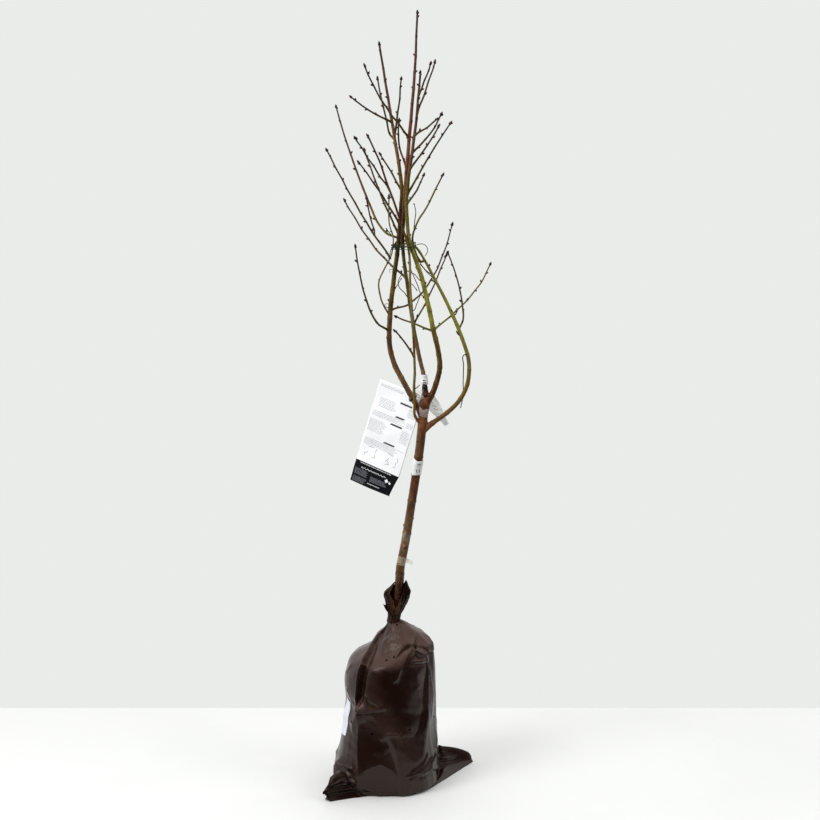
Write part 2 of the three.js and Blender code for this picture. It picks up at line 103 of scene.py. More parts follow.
def curve_through(knots: Array, spacing: float) -> Array:
    """Even points along a smooth curve through knots.

    Args:
        knots: rows of x, y, z and any further columns that ride along.
        spacing: distance between the points, in millimetres.

    Returns:
        Rows like the knots, both ends kept.
    """
    length = run_along(knots[:, :3])
    slope = np.gradient(knots, length, axis=0)
    at = np.linspace(0, length[-1], max(2, round(length[-1] / spacing) + 1))
    k = np.clip(np.searchsorted(length, at, side="right") - 1, 0, len(length) - 2)
    span = (length[k + 1] - length[k])[:, None]
    t = (at - length[k])[:, None] / span
    near = (2 * t**3 - 3 * t**2 + 1) * knots[k] + (t**3 - 2 * t**2 + t) * span * slope[k]
    return near + (3 * t**2 - 2 * t**3) * knots[k + 1] + (t**3 - t**2) * span * slope[k + 1]


def run_along(points: Array) -> Array:
    """Distance along a path from its first point to each of its points."""
    return np.r_[0, np.cumsum(np.linalg.norm(np.diff(points, axis=0), axis=1))]


def turn_from(start: float, turns: Array | float) -> Array | float:
    """Turns measured from a start, in degrees from -180 to 180."""
    return (turns - start + 180) % 360 - 180


def side_axes(points: Array) -> tuple[Array, Array, Array]:
    """Direction along a path and two axes across it that don't twist, for each of its points.

    Args:
        points: rows of x, y, z.

    Returns:
        The three directions, each with a row for every point.
    """
    along = unit(np.gradient(points, axis=0))
    across = np.zeros_like(along)
    guess = np.array([0.0, 1.0, 0.0])
    for row, heading in enumerate(along):
        guess = guess - heading * (guess @ heading)
        guess /= max(np.linalg.norm(guess), 1e-9)
        across[row] = guess
    return along, across, np.cross(along, across)


def hull_of(points: Array) -> Array:
    """Convex hull of flat points, in counter-clockwise order.

    Args:
        points: rows of x, y.

    Returns:
        The corners of the hull.
    """
    rows = sorted(map(tuple, points))
    halves = []
    for line in (rows, rows[::-1]):
        half: list[tuple[float, float]] = []
        for p in line:
            while len(half) > 1 and ((half[-1][0] - half[-2][0]) * (p[1] - half[-2][1])
                                     - (half[-1][1] - half[-2][1]) * (p[0] - half[-2][0])) <= 0:
                half.pop()
            half.append(p)
        halves += half[:-1]
    return np.array(halves)


# ---------------------------------------------------------------- meshes and pieces
def new_mesh(name: str, points: Array, faces: Sequence, edges: Sequence = ()) -> bpy.types.Mesh:
    """A mesh from points in millimetres, smooth shaded.

    Args:
        name: name of the mesh.
        points: rows of x, y, z.
        faces: point numbers of each face.
        edges: point numbers of each loose edge.

    Returns:
        The mesh.
    """
    mesh = bpy.data.meshes.new(name)
    mesh.from_pydata((np.asarray(points, float) * MM).tolist(), list(edges), list(faces))
    mesh.polygons.foreach_set("use_smooth", [True] * len(mesh.polygons))
    return mesh


def set_values(mesh: bpy.types.Mesh, name: str, values: Array) -> None:
    """Stores one number, vector or colour for each point of a mesh.

    Args:
        mesh: mesh that they are stored on.
        name: name of the attribute.
        values: one row for each point.
    """
    values = np.asarray(values, np.float32)
    width = 1 if values.ndim == 1 else values.shape[1]
    kind, slot = {1: ("FLOAT", "value"), 3: ("FLOAT_VECTOR", "vector"),
                  4: ("FLOAT_COLOR", "color")}[width]
    mesh.attributes.new(name, kind, "POINT").data.foreach_set(slot, values.ravel())


def points_of(mesh: bpy.types.Mesh) -> Array:
    """Points of a mesh, in millimetres.

    Args:
        mesh: the mesh.

    Returns:
        Rows of x, y, z.
    """
    places = np.zeros(len(mesh.vertices) * 3)
    mesh.vertices.foreach_get("co", places)
    return places.reshape(-1, 3) / MM


def in_mm(corners: Iterable[Vector]) -> list[Array]:
    """Corners of a box, in millimetres."""
    return [np.array(corner) / MM for corner in corners]


def put(mesh: bpy.types.Mesh, material: bpy.types.Material | None = None) -> bpy.types.Object:
    """Links a mesh into the scene as an object of the same name.

    Args:
        mesh: the mesh.
        material: its finish, if it has one yet.

    Returns:
        The object.
    """
    thing = bpy.data.objects.new(mesh.name, mesh)
    bpy.context.scene.collection.objects.link(thing)
    if material:
        mesh.materials.append(material)
    return thing


def settle(thing: bpy.types.Object) -> bpy.types.Object:
    """Turns an object with modifiers into its plain evaluated mesh.

    Args:
        thing: the object.

    Returns:
        The same object, with its new mesh.
    """
    graph = bpy.context.evaluated_depsgraph_get()
    plain = bpy.data.meshes.new_from_object(
        thing.evaluated_get(graph), preserve_all_data_layers=True, depsgraph=graph)
    thing.modifiers.clear()
    old, thing.data = thing.data, plain
    bpy.data.meshes.remove(old)
    plain.name = thing.name
    return thing


def declare(piece: bpy.types.Object, slot: str, nodes: Iterable[str] = ()) -> bpy.types.Object:
    """Makes a finished piece ride on the plant's body and stand for its frame nodes.

    Args:
        piece: the finished piece.
        slot: not used.
        nodes: frame nodes that it stands for.

    Returns:
        The same piece.
    """
    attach(piece, BODY)
    nodes = tuple(nodes)
    if nodes:
        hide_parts(*nodes)
    triangles = sum(len(face.vertices) - 2 for face in piece.data.polygons)
    log.info("%s: %d triangles", piece.name, triangles)
    return piece


def loft_faces(rows: int, columns: int, start: int = 0, closed: bool = True) -> list[tuple]:
    """Quads over a grid of rows by columns, wrapped round its columns if closed.

    Args:
        rows: number of rows.
        columns: number of columns.
        start: number of the first point.
        closed: whether the last column joins the first.

    Returns:
        Point numbers of each quad.
    """
    faces = []
    for row in range(rows - 1):
        for column in range(columns if closed else columns - 1):
            after = (column + 1) % columns
            low, high = start + row * columns, start + (row + 1) * columns
            faces.append((low + column, low + after, high + after, high + column))
    return faces


# ---------------------------------------------------------------- geometry node trees
class NodeWork:
    """A node tree under construction."""

    tree: bpy.types.NodeTree

    def add(self, kind: str, links: dict | None = None, out: int | str = 0,
            **settings: object) -> bpy.types.NodeSocket:
        """Adds a node and returns one of its outputs.

        Args:
            kind: node type.
            links: input name or number to a socket or a plain value.
            out: the output wanted.
            **settings: properties of the node itself.

        Returns:
            The output socket.
        """
        node = self.tree.nodes.new(kind)
        for key, value in settings.items():
            setattr(node, key, value)
        for key, value in (links or {}).items():
            if isinstance(value, bpy.types.NodeSocket):
                self.tree.links.new(value, node.inputs[key])
            else:
                node.inputs[key].default_value = value
        return node.outputs[out]

    def maths(self, operation: str, *values: object) -> bpy.types.NodeSocket:
        """One sum on numbers."""
        return self.add("ShaderNodeMath", dict(enumerate(values)), operation=operation)

    def vector(self, operation: str, links: dict) -> bpy.types.NodeSocket:
        """One sum on vectors."""
        return self.add("ShaderNodeVectorMath", links, operation=operation)

    def between(self, value: bpy.types.NodeSocket, start: tuple[float, float],
                end: tuple[float, float]) -> bpy.types.NodeSocket:
        """A number brought smoothly from one range to another.

        Args:
            value: the number.
            start: the range it comes from.
            end: the range it is brought to.

        Returns:
            The output socket.
        """
        return self.add("ShaderNodeMapRange", {
            "Value": value, "From Min": start[0], "From Max": start[1],
            "To Min": end[0], "To Max": end[1]}, interpolation_type="SMOOTHSTEP")


class Growth(NodeWork):
    """A geometry node tree under construction, with named inputs."""

    def __init__(self, name: str, **inputs: str) -> None:
        """Starts a tree whose inputs are given as name=socket kind.

        Args:
            name: name of the tree.
            **inputs: socket kind of each input.
        """
        self.tree = bpy.data.node_groups.new(name, "GeometryNodeTree")
        face = self.tree.interface
        face.new_socket("Geometry", in_out="INPUT", socket_type="NodeSocketGeometry")
        face.new_socket("Geometry", in_out="OUTPUT", socket_type="NodeSocketGeometry")
        for label, kind in inputs.items():
            face.new_socket(label, in_out="INPUT", socket_type=f"NodeSocket{kind}")
        self.inside = self.tree.nodes.new("NodeGroupInput")

    def given(self, label: str) -> bpy.types.NodeSocket:
        """The socket of a named input."""
        return self.inside.outputs[label]

    def named(self, label: str, kind: str = "FLOAT") -> bpy.types.NodeSocket:
        """A field that reads a named attribute."""
        return self.add("GeometryNodeInputNamedAttribute", {"Name": label}, data_type=kind)

    def end(self, geometry: bpy.types.NodeSocket) -> bpy.types.NodeTree:
        """Realizes instances, sets the finish and closes the tree.

        Args:
            geometry: what has grown.

        Returns:
            The tree.
        """
        real = self.add("GeometryNodeRealizeInstances", {0: geometry})
        done = self.add("GeometryNodeSetMaterial", {0: real, "Material": self.given("Finish")})
        last = self.tree.nodes.new("NodeGroupOutput")
        self.tree.links.new(done, last.inputs[0])
        return self.tree


def grow(thing: bpy.types.Object, tree: bpy.types.NodeTree, **inputs: object) -> bpy.types.Object:
    """Runs a geometry node tree on an object and keeps the plain result.

    Args:
        thing: the object.
        tree: the tree.
        **inputs: values of the tree's inputs.

    Returns:
        The same object, with its new mesh.
    """
    modifier = thing.modifiers.new("growth", "NODES")
    modifier.node_group = tree
    for item in tree.interface.items_tree:
        if item.in_out == "INPUT" and item.name in inputs:
            modifier[item.identifier] = inputs[item.name]
    return settle(thing)


class Trees:
    """The geometry node trees that several pieces share, each built once."""

    def __init__(self) -> None:
        """Builds every tree."""
        self.sweep = self.sweep_tree()
        self.relief = self.relief_tree()
        self.buds = self.bud_tree()
        self.specks = self.speck_tree()
        self.bars = self.bar_tree()
        self.dots = self.dot_tree()

    @staticmethod
    def push_out(growth: Growth, geometry: bpy.types.NodeSocket) -> bpy.types.NodeSocket:
        """Moves a surface in and out along its normals by two sizes of solid noise.

        Args:
            growth: tree under construction.
            geometry: the surface.

        Returns:
            The moved surface.
        """
        place = growth.add("GeometryNodeInputPosition")
        stretched = growth.vector("MULTIPLY", {0: place, 1: (1.0, 1.0, 0.35)})
        heights = []
        for scale, share in ((170.0, 1.0), (620.0, 0.38)):
            noise = growth.add("ShaderNodeTexNoise", {
                "Vector": stretched, "W": growth.given("Seed"), "Scale": scale, "Detail": 2.0,
            }, noise_dimensions="4D")
            heights.append(growth.maths("MULTIPLY", growth.maths("SUBTRACT", noise, 0.5), share))
        height = growth.maths("MULTIPLY", growth.maths("ADD", *heights), growth.given("Relief"))
        offset = growth.vector("SCALE", {0: growth.add("GeometryNodeInputNormal"), "Scale": height})
        return growth.add("GeometryNodeSetPosition", {0: geometry, "Offset": offset})

    def sweep_tree(self) -> bpy.types.NodeTree:
        """Round limbs or strands along mesh lines, as thick as their girth attribute says.

        Returns:
            The tree.
        """
        growth = Growth("sweep", Sides="Int", Relief="Float", Seed="Float", Finish="Material")
        lines = growth.add("GeometryNodeMeshToCurve", {0: growth.given("Geometry")})
        ring = growth.add("GeometryNodeCurvePrimitiveCircle",
                          {"Resolution": growth.given("Sides"), "Radius": 1.0})
        tube = growth.add("GeometryNodeCurveToMesh", {
            0: lines, 1: ring, "Scale": growth.named("girth"), "Fill Caps": True})
        merged = growth.add("GeometryNodeMergeByDistance", {0: tube, "Distance": 1e-6})
        rough = self.push_out(growth, merged)
        return growth.end(growth.add("GeometryNodeSetShadeSmooth", {0: rough}))

    def relief_tree(self) -> bpy.types.NodeTree:
        """Bark relief on a mesh that is already there."""
        growth = Growth("relief", Relief="Float", Seed="Float", Finish="Material")
        rough = self.push_out(growth, growth.given("Geometry"))
        return growth.end(growth.add("GeometryNodeSetShadeSmooth", {0: rough}))

    def bud_tree(self) -> bpy.types.NodeTree:
        """A pointed bud at each point, aimed and sized by the point's attributes.

        Returns:
            The tree.
        """
        growth = Growth("buds", Finish="Material")
        ball = growth.add("GeometryNodeMeshUVSphere", {"Segments": 8, "Rings": 7, "Radius": 0.5})
        place = growth.add("GeometryNodeInputPosition")
        height = growth.add("ShaderNodeSeparateXYZ", {0: place}, "Z")
        taper = growth.between(height, (-0.1, 0.5), (1.0, 0.12))
        scale = growth.add("ShaderNodeCombineXYZ", {0: taper, 1: taper, 2: 1.0})
        moved = growth.vector("ADD", {
            0: growth.vector("MULTIPLY", {0: place, 1: scale}), 1: (0.0, 0.0, 0.42)})
        bud = growth.add("GeometryNodeSetPosition", {0: ball, "Position": moved})
        return self.on_points(growth, bud, growth.given("Geometry"))

    @staticmethod
    def on_points(growth: Growth, shape: bpy.types.NodeSocket,
                  points: bpy.types.NodeSocket) -> bpy.types.NodeTree:
        """Puts a shape at each point, its Z along aim, and keeps the point's tint.

        Args:
            growth: tree under construction.
            shape: the shape, upright.
            points: the points.

        Returns:
            The tree.
        """
        rows = growth.add("GeometryNodeMeshToPoints", {0: points})
        turn = growth.add("FunctionNodeAlignRotationToVector",
                          {"Vector": growth.named("aim", "FLOAT_VECTOR")}, axis="Z")
        many = growth.add("GeometryNodeInstanceOnPoints", {
            0: rows, "Instance": shape, "Rotation": turn,
            "Scale": growth.named("size", "FLOAT_VECTOR")})
        return growth.end(growth.add("GeometryNodeSetShadeSmooth", {0: many}))

    def speck_tree(self) -> bpy.types.NodeTree:
        """Small flat lens-shaped specks scattered over a surface, level on its upright limbs.

        Returns:
            The tree.
        """
        growth = Growth("specks", Spacing="Float", Density="Float", Width="Float", Rise="Float",
                        Seed="Int", Finish="Material")
        points = growth.tree.nodes.new("GeometryNodeDistributePointsOnFaces")
        points.distribute_method = "POISSON"
        for key, label in (("Mesh", "Geometry"), ("Distance Min", "Spacing"),
                           ("Density Max", "Density"), ("Seed", "Seed")):
            growth.tree.links.new(growth.given(label), points.inputs[key])
        turn = growth.add("FunctionNodeAxesToRotation", {
            "Primary Axis": points.outputs["Normal"], "Secondary Axis": (0.0, 0.0, 1.0),
        }, primary_axis="Z", secondary_axis="Y")
        size = growth.add("FunctionNodeRandomValue",
                          {2: 0.55, 3: 1.3, "Seed": growth.given("Seed")}, 1, data_type="FLOAT")
        wide = growth.maths("MULTIPLY", size, growth.given("Width"))
        scale = growth.add("ShaderNodeCombineXYZ", {
            0: wide, 1: growth.maths("MULTIPLY", wide, 0.45), 2: growth.given("Rise")})
        disc = growth.add("GeometryNodeMeshIcoSphere", {"Radius": 0.5, "Subdivisions": 2})
        many = growth.add("GeometryNodeInstanceOnPoints", {
            0: points.outputs["Points"], "Instance": disc, "Rotation": turn, "Scale": scale})
        return growth.end(growth.add("GeometryNodeSetShadeSmooth", {0: many}))

    def bar_tree(self) -> bpy.types.NodeTree:
        """Thin bars at points, for rows of generic print: X along aim, Z along face.

        Returns:
            The tree.
        """
        growth = Growth("bars", Finish="Material")
        rows = growth.add("GeometryNodeMeshToPoints", {0: growth.given("Geometry")})
        turn = growth.add("FunctionNodeAxesToRotation", {
            "Primary Axis": growth.named("face", "FLOAT_VECTOR"),
            "Secondary Axis": growth.named("aim", "FLOAT_VECTOR"),
        }, primary_axis="Z", secondary_axis="X")
        bar = growth.add("GeometryNodeMeshCube", {"Size": (1.0, 1.0, 1.0), "Vertices X": 4})
        many = growth.add("GeometryNodeInstanceOnPoints", {
            0: rows, "Instance": bar, "Rotation": turn,
            "Scale": growth.named("size", "FLOAT_VECTOR")})
        return growth.end(many)

    def dot_tree(self) -> bpy.types.NodeTree:
        """A flat round dot at each point."""
        growth = Growth("dots", Finish="Material")
        dot = growth.add("GeometryNodeMeshIcoSphere", {"Radius": 0.5, "Subdivisions": 2})
        return self.on_points(growth, dot, growth.given("Geometry"))


# ---------------------------------------------------------------- finishes
class Shader(NodeWork):
    """A material under construction on one principled surface."""

    def __init__(self, name: str) -> None:
        """Starts an empty material.

        Args:
            name: name of the material.
        """
        self.material = bpy.data.materials.new(name)
        self.material.use_nodes = True
        self.tree = self.material.node_tree
        self.tree.nodes.clear()
        self.surface = self.tree.nodes.new("ShaderNodeBsdfPrincipled")
        last = self.tree.nodes.new("ShaderNodeOutputMaterial")
        self.tree.links.new(self.surface.outputs[0], last.inputs[0])
        self.place = self.add("ShaderNodeTexCoord", out="Object")

    def set(self, label: str, value: object) -> None:
        """Sets or links one input of the surface.

        Args:
            label: name of the input.
            value: a socket or a plain value.
        """
        if isinstance(value, bpy.types.NodeSocket):
            self.tree.links.new(value, self.surface.inputs[label])
        else:
            self.surface.inputs[label].default_value = value

    def drawn_out(self, scale: tuple[float, float, float]) -> bpy.types.NodeSocket:
        """Object coordinates stretched by a scale."""
        return self.add("ShaderNodeMapping", {"Vector": self.place, "Scale": scale})

    def noise(self, place: bpy.types.NodeSocket, scale: float, detail: float = 3.0,
              distortion: float = 0.0) -> bpy.types.NodeSocket:
        """Solid noise."""
        return self.add("ShaderNodeTexNoise", {
            "Vector": place, "Scale": scale, "Detail": detail, "Distortion": distortion})

    def blend(self, share: bpy.types.NodeSocket | float, low: object, high: object,
              mode: str = "MIX") -> bpy.types.NodeSocket:
        """Mix of two colours."""
        return self.add("ShaderNodeMix", {0: share, 6: low, 7: high}, 2,
                        data_type="RGBA", blend_type=mode)

    def rough(self, patches: bpy.types.NodeSocket, level: float, less: float, more: float) -> None:
        """Sets a roughness that lies less below its level or more above it, by patches."""
        self.set("Roughness", self.between(patches, (0.3, 0.7), (level - less, level + more)))

    def bump(self, height: bpy.types.NodeSocket, depth: float) -> None:
        """Bump from a height of 0 to 1, as deep as depth millimetres."""
        self.set("Normal", self.add("ShaderNodeBump", {
            "Height": height, "Strength": 1.0, "Distance": depth * MM}))


@dataclass(frozen=True)
class Bark:
    """Young bark: its mesh's own tint under patches, streaks and pores."""

    name: str
    roughness: float = 0.5
    patch: float = 150.0            # patches to the metre
    mottle: float = 0.35            # share by which patches darken
    pore: str = "a98e6c"
    pore_share: float = 0.4
    depth: float = 0.22             # bump, in millimetres

    def material(self) -> bpy.types.Material:
        """Builds the material.

        Returns:
            The material.
        """
        work = Shader(self.name)
        tint = work.add("ShaderNodeAttribute", out="Color", attribute_name="tint")
        upright = work.drawn_out((1.0, 1.0, 0.22))
        patches = work.noise(work.drawn_out((1.0, 1.0, 0.5)), self.patch, 4.0, 0.6)
        streaks = work.noise(upright, 1100.0, 3.0)
        darker = work.between(patches, (0.3, 0.72), (1.0 - self.mottle, 1.12))
        lined = work.between(streaks, (0.25, 0.75), (0.82, 1.1))
        shaded = work.vector("SCALE", {0: tint, "Scale": work.maths("MULTIPLY", darker, lined)})
        dots = work.add("ShaderNodeTexVoronoi", {
            "Vector": work.drawn_out((1.0, 1.0, 2.2)), "Scale": 190.0, "Randomness": 1.0})
        pore = work.between(dots, (0.1, 0.2), (self.pore_share, 0.0))
        work.set("Base Color", work.blend(pore, shaded, shade(self.pore)))
        work.rough(patches, self.roughness, 0.12, 0.14)
        fine = work.noise(work.place, 2600.0, 3.0)
        relief = work.maths("ADD", work.maths("MULTIPLY", streaks, 0.7),
                            work.maths("MULTIPLY", fine, 0.3))
        work.bump(work.maths("ADD", relief, work.maths("MULTIPLY", pore, 0.6)), self.depth)
        return work.material


@dataclass(frozen=True)
class Film:
    """Glossy bag film, crinkled all over, lightened by dust and by painted sheen."""

    name: str
    colour: str = "180a06"
    # lighter colour for dust and painted sheen
    dusty_sheen: str = "402e28"
    roughness: float = 0.23
    crinkle: float = 0.13           # depth of the small crinkles, in millimetres
    mirror: float = 0.40            # level of the mirror light
    warmth: tuple[float, float, float, float] = (1.0, 0.86, 0.79, 1.0)

    def material(self) -> bpy.types.Material:
        """Builds the material.

        Returns:
            The material.
        """
        work = Shader(self.name)
        broad = work.noise(work.place, 12.0, 3.0, 0.4)
        warp = work.add("ShaderNodeTexNoise", {"Vector": work.place, "Scale": 30.0}, "Color")
        bend = work.vector("SCALE", {0: warp, "Scale": 0.03})
        bent = work.vector("ADD", {0: work.place, 1: bend})
        cells = work.add("ShaderNodeTexVoronoi", {"Vector": bent, "Scale": 40.0}, "Distance")
        fine = work.noise(bent, 160.0, 4.0, 1.0)
        total = work.maths("ADD", work.maths("MULTIPLY", cells, 0.8),
                           work.maths("MULTIPLY", fine, 0.2))
        work.bump(total, self.crinkle)
        # dust and painted sheen: the lighter colour is mixed in where the mesh's attribute and soft
        # patches say
        dust_and_sheen_share = work.add("ShaderNodeAttribute", out="Fac", attribute_name="dust_and_sheen")
        dust_and_sheen = work.maths("ADD", dust_and_sheen_share, work.between(broad, (0.42, 0.72), (0.0, 0.15)))
        work.set("Base Color", work.blend(dust_and_sheen, shade(self.colour), shade(self.dusty_sheen)))
        work.rough(broad, self.roughness, 0.05, 0.1)
        work.set("IOR", 1.5)
        work.set("Specular IOR Level", self.mirror)
        work.set("Specular Tint", self.warmth)
        return work.material


@dataclass(frozen=True)
class Coloured:
    """A plain coloured stuff with soft mottling, grain and a little bump."""

    name: str
    colour: str
    other: str = ""                 # second colour of the mottling, the same where empty
    roughness: float = 0.6
    patch: float = 60.0
    grain: float = 1500.0
    depth: float = 0.08
    clear: float = 1.0              # opacity
    coat: float = 0.0
    own_tint: bool = False          # the mesh's tint in place of the colour
    mirror: float = 0.5             # level of the mirror light

    def material(self) -> bpy.types.Material:
        """Builds the material.

        Returns:
            The material.
        """
        work = Shader(self.name)
        patches = work.noise(work.place, self.patch, 4.0, 0.5)
        base: object = shade(self.colour)
        other: object = shade(self.other or self.colour)
        if self.own_tint:
            base = work.add("ShaderNodeAttribute", out="Color", attribute_name="tint")
            other = work.blend(1.0, base, shade(self.other or "ffffff"), "MULTIPLY")
        share = work.between(patches, (0.35, 0.68), (0.0, 1.0))
        work.set("Base Color", work.blend(share, base, other))
        work.rough(patches, self.roughness, 0.08, 0.08)
        work.set("Alpha", self.clear)
        work.set("Coat Weight", self.coat)
        work.set("Specular IOR Level", self.mirror)
        work.bump(work.noise(work.place, self.grain, 3.0), self.depth)
        return work.material


# ---------------------------------------------------------------- stems read from the frame
@dataclass
class Line:
    """A limb's middle line: points, radii and tints from its foot to its tip."""

    points: Array
    radii: Array
    tints: Array

    @classmethod
    def plain(cls, points: Array, radii: Array | float, colour: str) -> "Line":
        """A line of one colour."""
        return cls(points, np.full(len(points), radii), np.tile(shade(colour), (len(points), 1)))

    def at_height(self, height: float) -> tuple[Array, float, Array]:
        """Middle, radius and direction where the limb reaches a height.

        Args:
            height: the height.

        Returns:
            Middle, radius and direction.
        """
        heights = self.points[:, 2]
        middle = np.array([np.interp(height, heights, self.points[:, axis]) for axis in range(3)])
        row = int(np.clip(np.searchsorted(heights, height), 1, len(heights) - 1))
        along = unit(self.points[row] - self.points[row - 1])
        return middle, float(np.interp(height, heights, self.radii)), along

    def stretch(self, low: float, high: float) -> "Line":
        """The part of the limb between two heights."""
        keep = (self.points[:, 2] >= low) & (self.points[:, 2] <= high)
        return Line(self.points[keep], self.radii[keep], self.tints[keep])


class FrameLimbs:
    """Reads the middle lines of the frame's limbs from the rings of points on their solids."""

    ring_edge: float = 8.0          # edges shorter than this join the points of one ring
    ring_points: int = 5            # the fewest points of a ring
    ring_gap: float = 4.0           # rings nearer than this to the last one are passed over
    round_share: float = 0.25       # how uneven a ring's reach may be before it counts as a cut

    def groups(self, mesh: bpy.types.Mesh) -> list[Array]:
        """Points of a mesh, sorted into groups that short edges join.

        Args:
            mesh: the mesh.

        Returns:
            Rows of x, y, z for each group.
        """
        loops = np.zeros(len(mesh.loops), int)
        mesh.loops.foreach_get("vertex_index", loops)
        spots, same = np.unique(points_of(mesh).round(2), axis=0, return_inverse=True)
        faces = same.reshape(-1)[loops].reshape(-1, 3)
        edges = np.vstack([faces[:, [0, 1]], faces[:, [1, 2]], faces[:, [2, 0]]])
        reach = np.linalg.norm(spots[edges[:, 0]] - spots[edges[:, 1]], axis=1)
        near = edges[reach < self.ring_edge]
        owner = np.arange(len(spots))
        for _ in range(len(spots)):
            low = owner.copy()
            np.minimum.at(low, near[:, 0], owner[near[:, 1]])
            np.minimum.at(low, near[:, 1], owner[near[:, 0]])
            if (low == owner).all():
                break
            owner = low
        return [spots[owner == group] for group in np.unique(owner)]

    def rings(self, node: str) -> list[tuple[Array, Array]]:
        """Middle and points of each whole ring of a node, from the lowest up.

        Args:
            node: name of the node.

        Returns:
            Middle and points of each ring.
        """
        found = []
        for ring in self.groups(frame["nodes"][node].data):
            if len(ring) < self.ring_points:
                continue
            for _ in range(2):      # the second pass leaves out a cap's middle point
                span = np.linalg.norm(ring - ring.mean(0), axis=1)
                ring = ring[span > 0.4 * span.max()]
            span = np.linalg.norm(ring - ring.mean(0), axis=1)
            if np.ptp(span) < self.round_share * span.mean():
                found.append((ring.mean(0), ring))
        return sorted(found, key=lambda pair: pair[0][2])

    def knots(self, nodes: Sequence[str]) -> Array:
        """Rows of x, y, z and radius along the nodes of one limb.

        Args:
            nodes: names of the nodes, in any order.

        Returns:
            The rows, from the lowest up.
        """
        rings = sorted((pair for node in nodes for pair in self.rings(node)),
                       key=lambda pair: pair[0][2])
        kept = [rings[0]]
        for pair in rings[1:]:
            if np.linalg.norm(pair[0] - kept[-1][0]) > self.ring_gap:
                kept.append(pair)
        middles = np.array([middle for middle, _ in kept])
        along = unit(np.gradient(middles, axis=0))
        rows = []
        for (middle, ring), heading in zip(kept, along):
            arm = ring - middle
            flat = arm - (arm @ heading)[:, None] * heading
            rows.append([*middle, np.linalg.norm(flat, axis=1).mean()])
        return np.array(rows)

    @staticmethod
    def distances(knots: Array, parent: Line) -> Array:
        """How ill each point of a parent's line suits as the place a limb grows from.

        Args:
            knots: the limb's rows of x, y, z and radius.
            parent: the limb that it may grow from.

        Returns:
            One number for each point; the least suits best.
        """
        start, heading = knots[0, :3], unit(knots[1, :3] - knots[0, :3])
        back = (start - parent.points) @ heading
        off = np.linalg.norm(start - parent.points - back[:, None] * heading, axis=1)
        apart = np.linalg.norm(start - parent.points, axis=1)
        return off + 0.25 * apart + np.where(back < 0, 1e3, 0)

    def foot_on(self, knots: Array, parent: Line) -> Array:
        """The point of a parent's middle line that a limb's lowest end grows from."""
        row = int(np.argmin(self.distances(knots, parent)))
        return np.r_[parent.points[row], knots[0, 3]]


class Tone(Enum):
    """Plain shades of the wood."""

    # painted shade: wood darkened where it lies in shadow, at the trunk's foot in the cuff and
    # under the fork label
    SHADED = "2e180c"
    DARK = "40260f"
    RUSSET = "4c2c1b"
    BROWN = "533b2a"
    CHESTNUT = "6a4631"
    PALE = "69543f"
    EARTH = "5b4928"
    DARK_OLIVE = "4a4018"
    OLIVE = "625b36"
    GREEN = "757135"
    BRIGHT_GREEN = "858139"
    MAROON = "633c32"
    PLUM = "523a30"
    TIP = "382a2a"


@dataclass(frozen=True)
class Stem:
    """How one limb is read from the frame and dressed."""

    nodes: tuple[str, ...]
    tones: tuple[tuple[float, Tone], ...]   # from each height up, blending into the next
    parent: str = ""
    flare: float = 0.45             # how much wider its foot is than its run
    node_gap: float = 36.0          # distance between the swellings that carry buds
    kink: float = 0.5               # how far it turns aside at each of them
    buds_from: float = 930.0        # height above which its swellings carry buds
    bud: float = 4.2


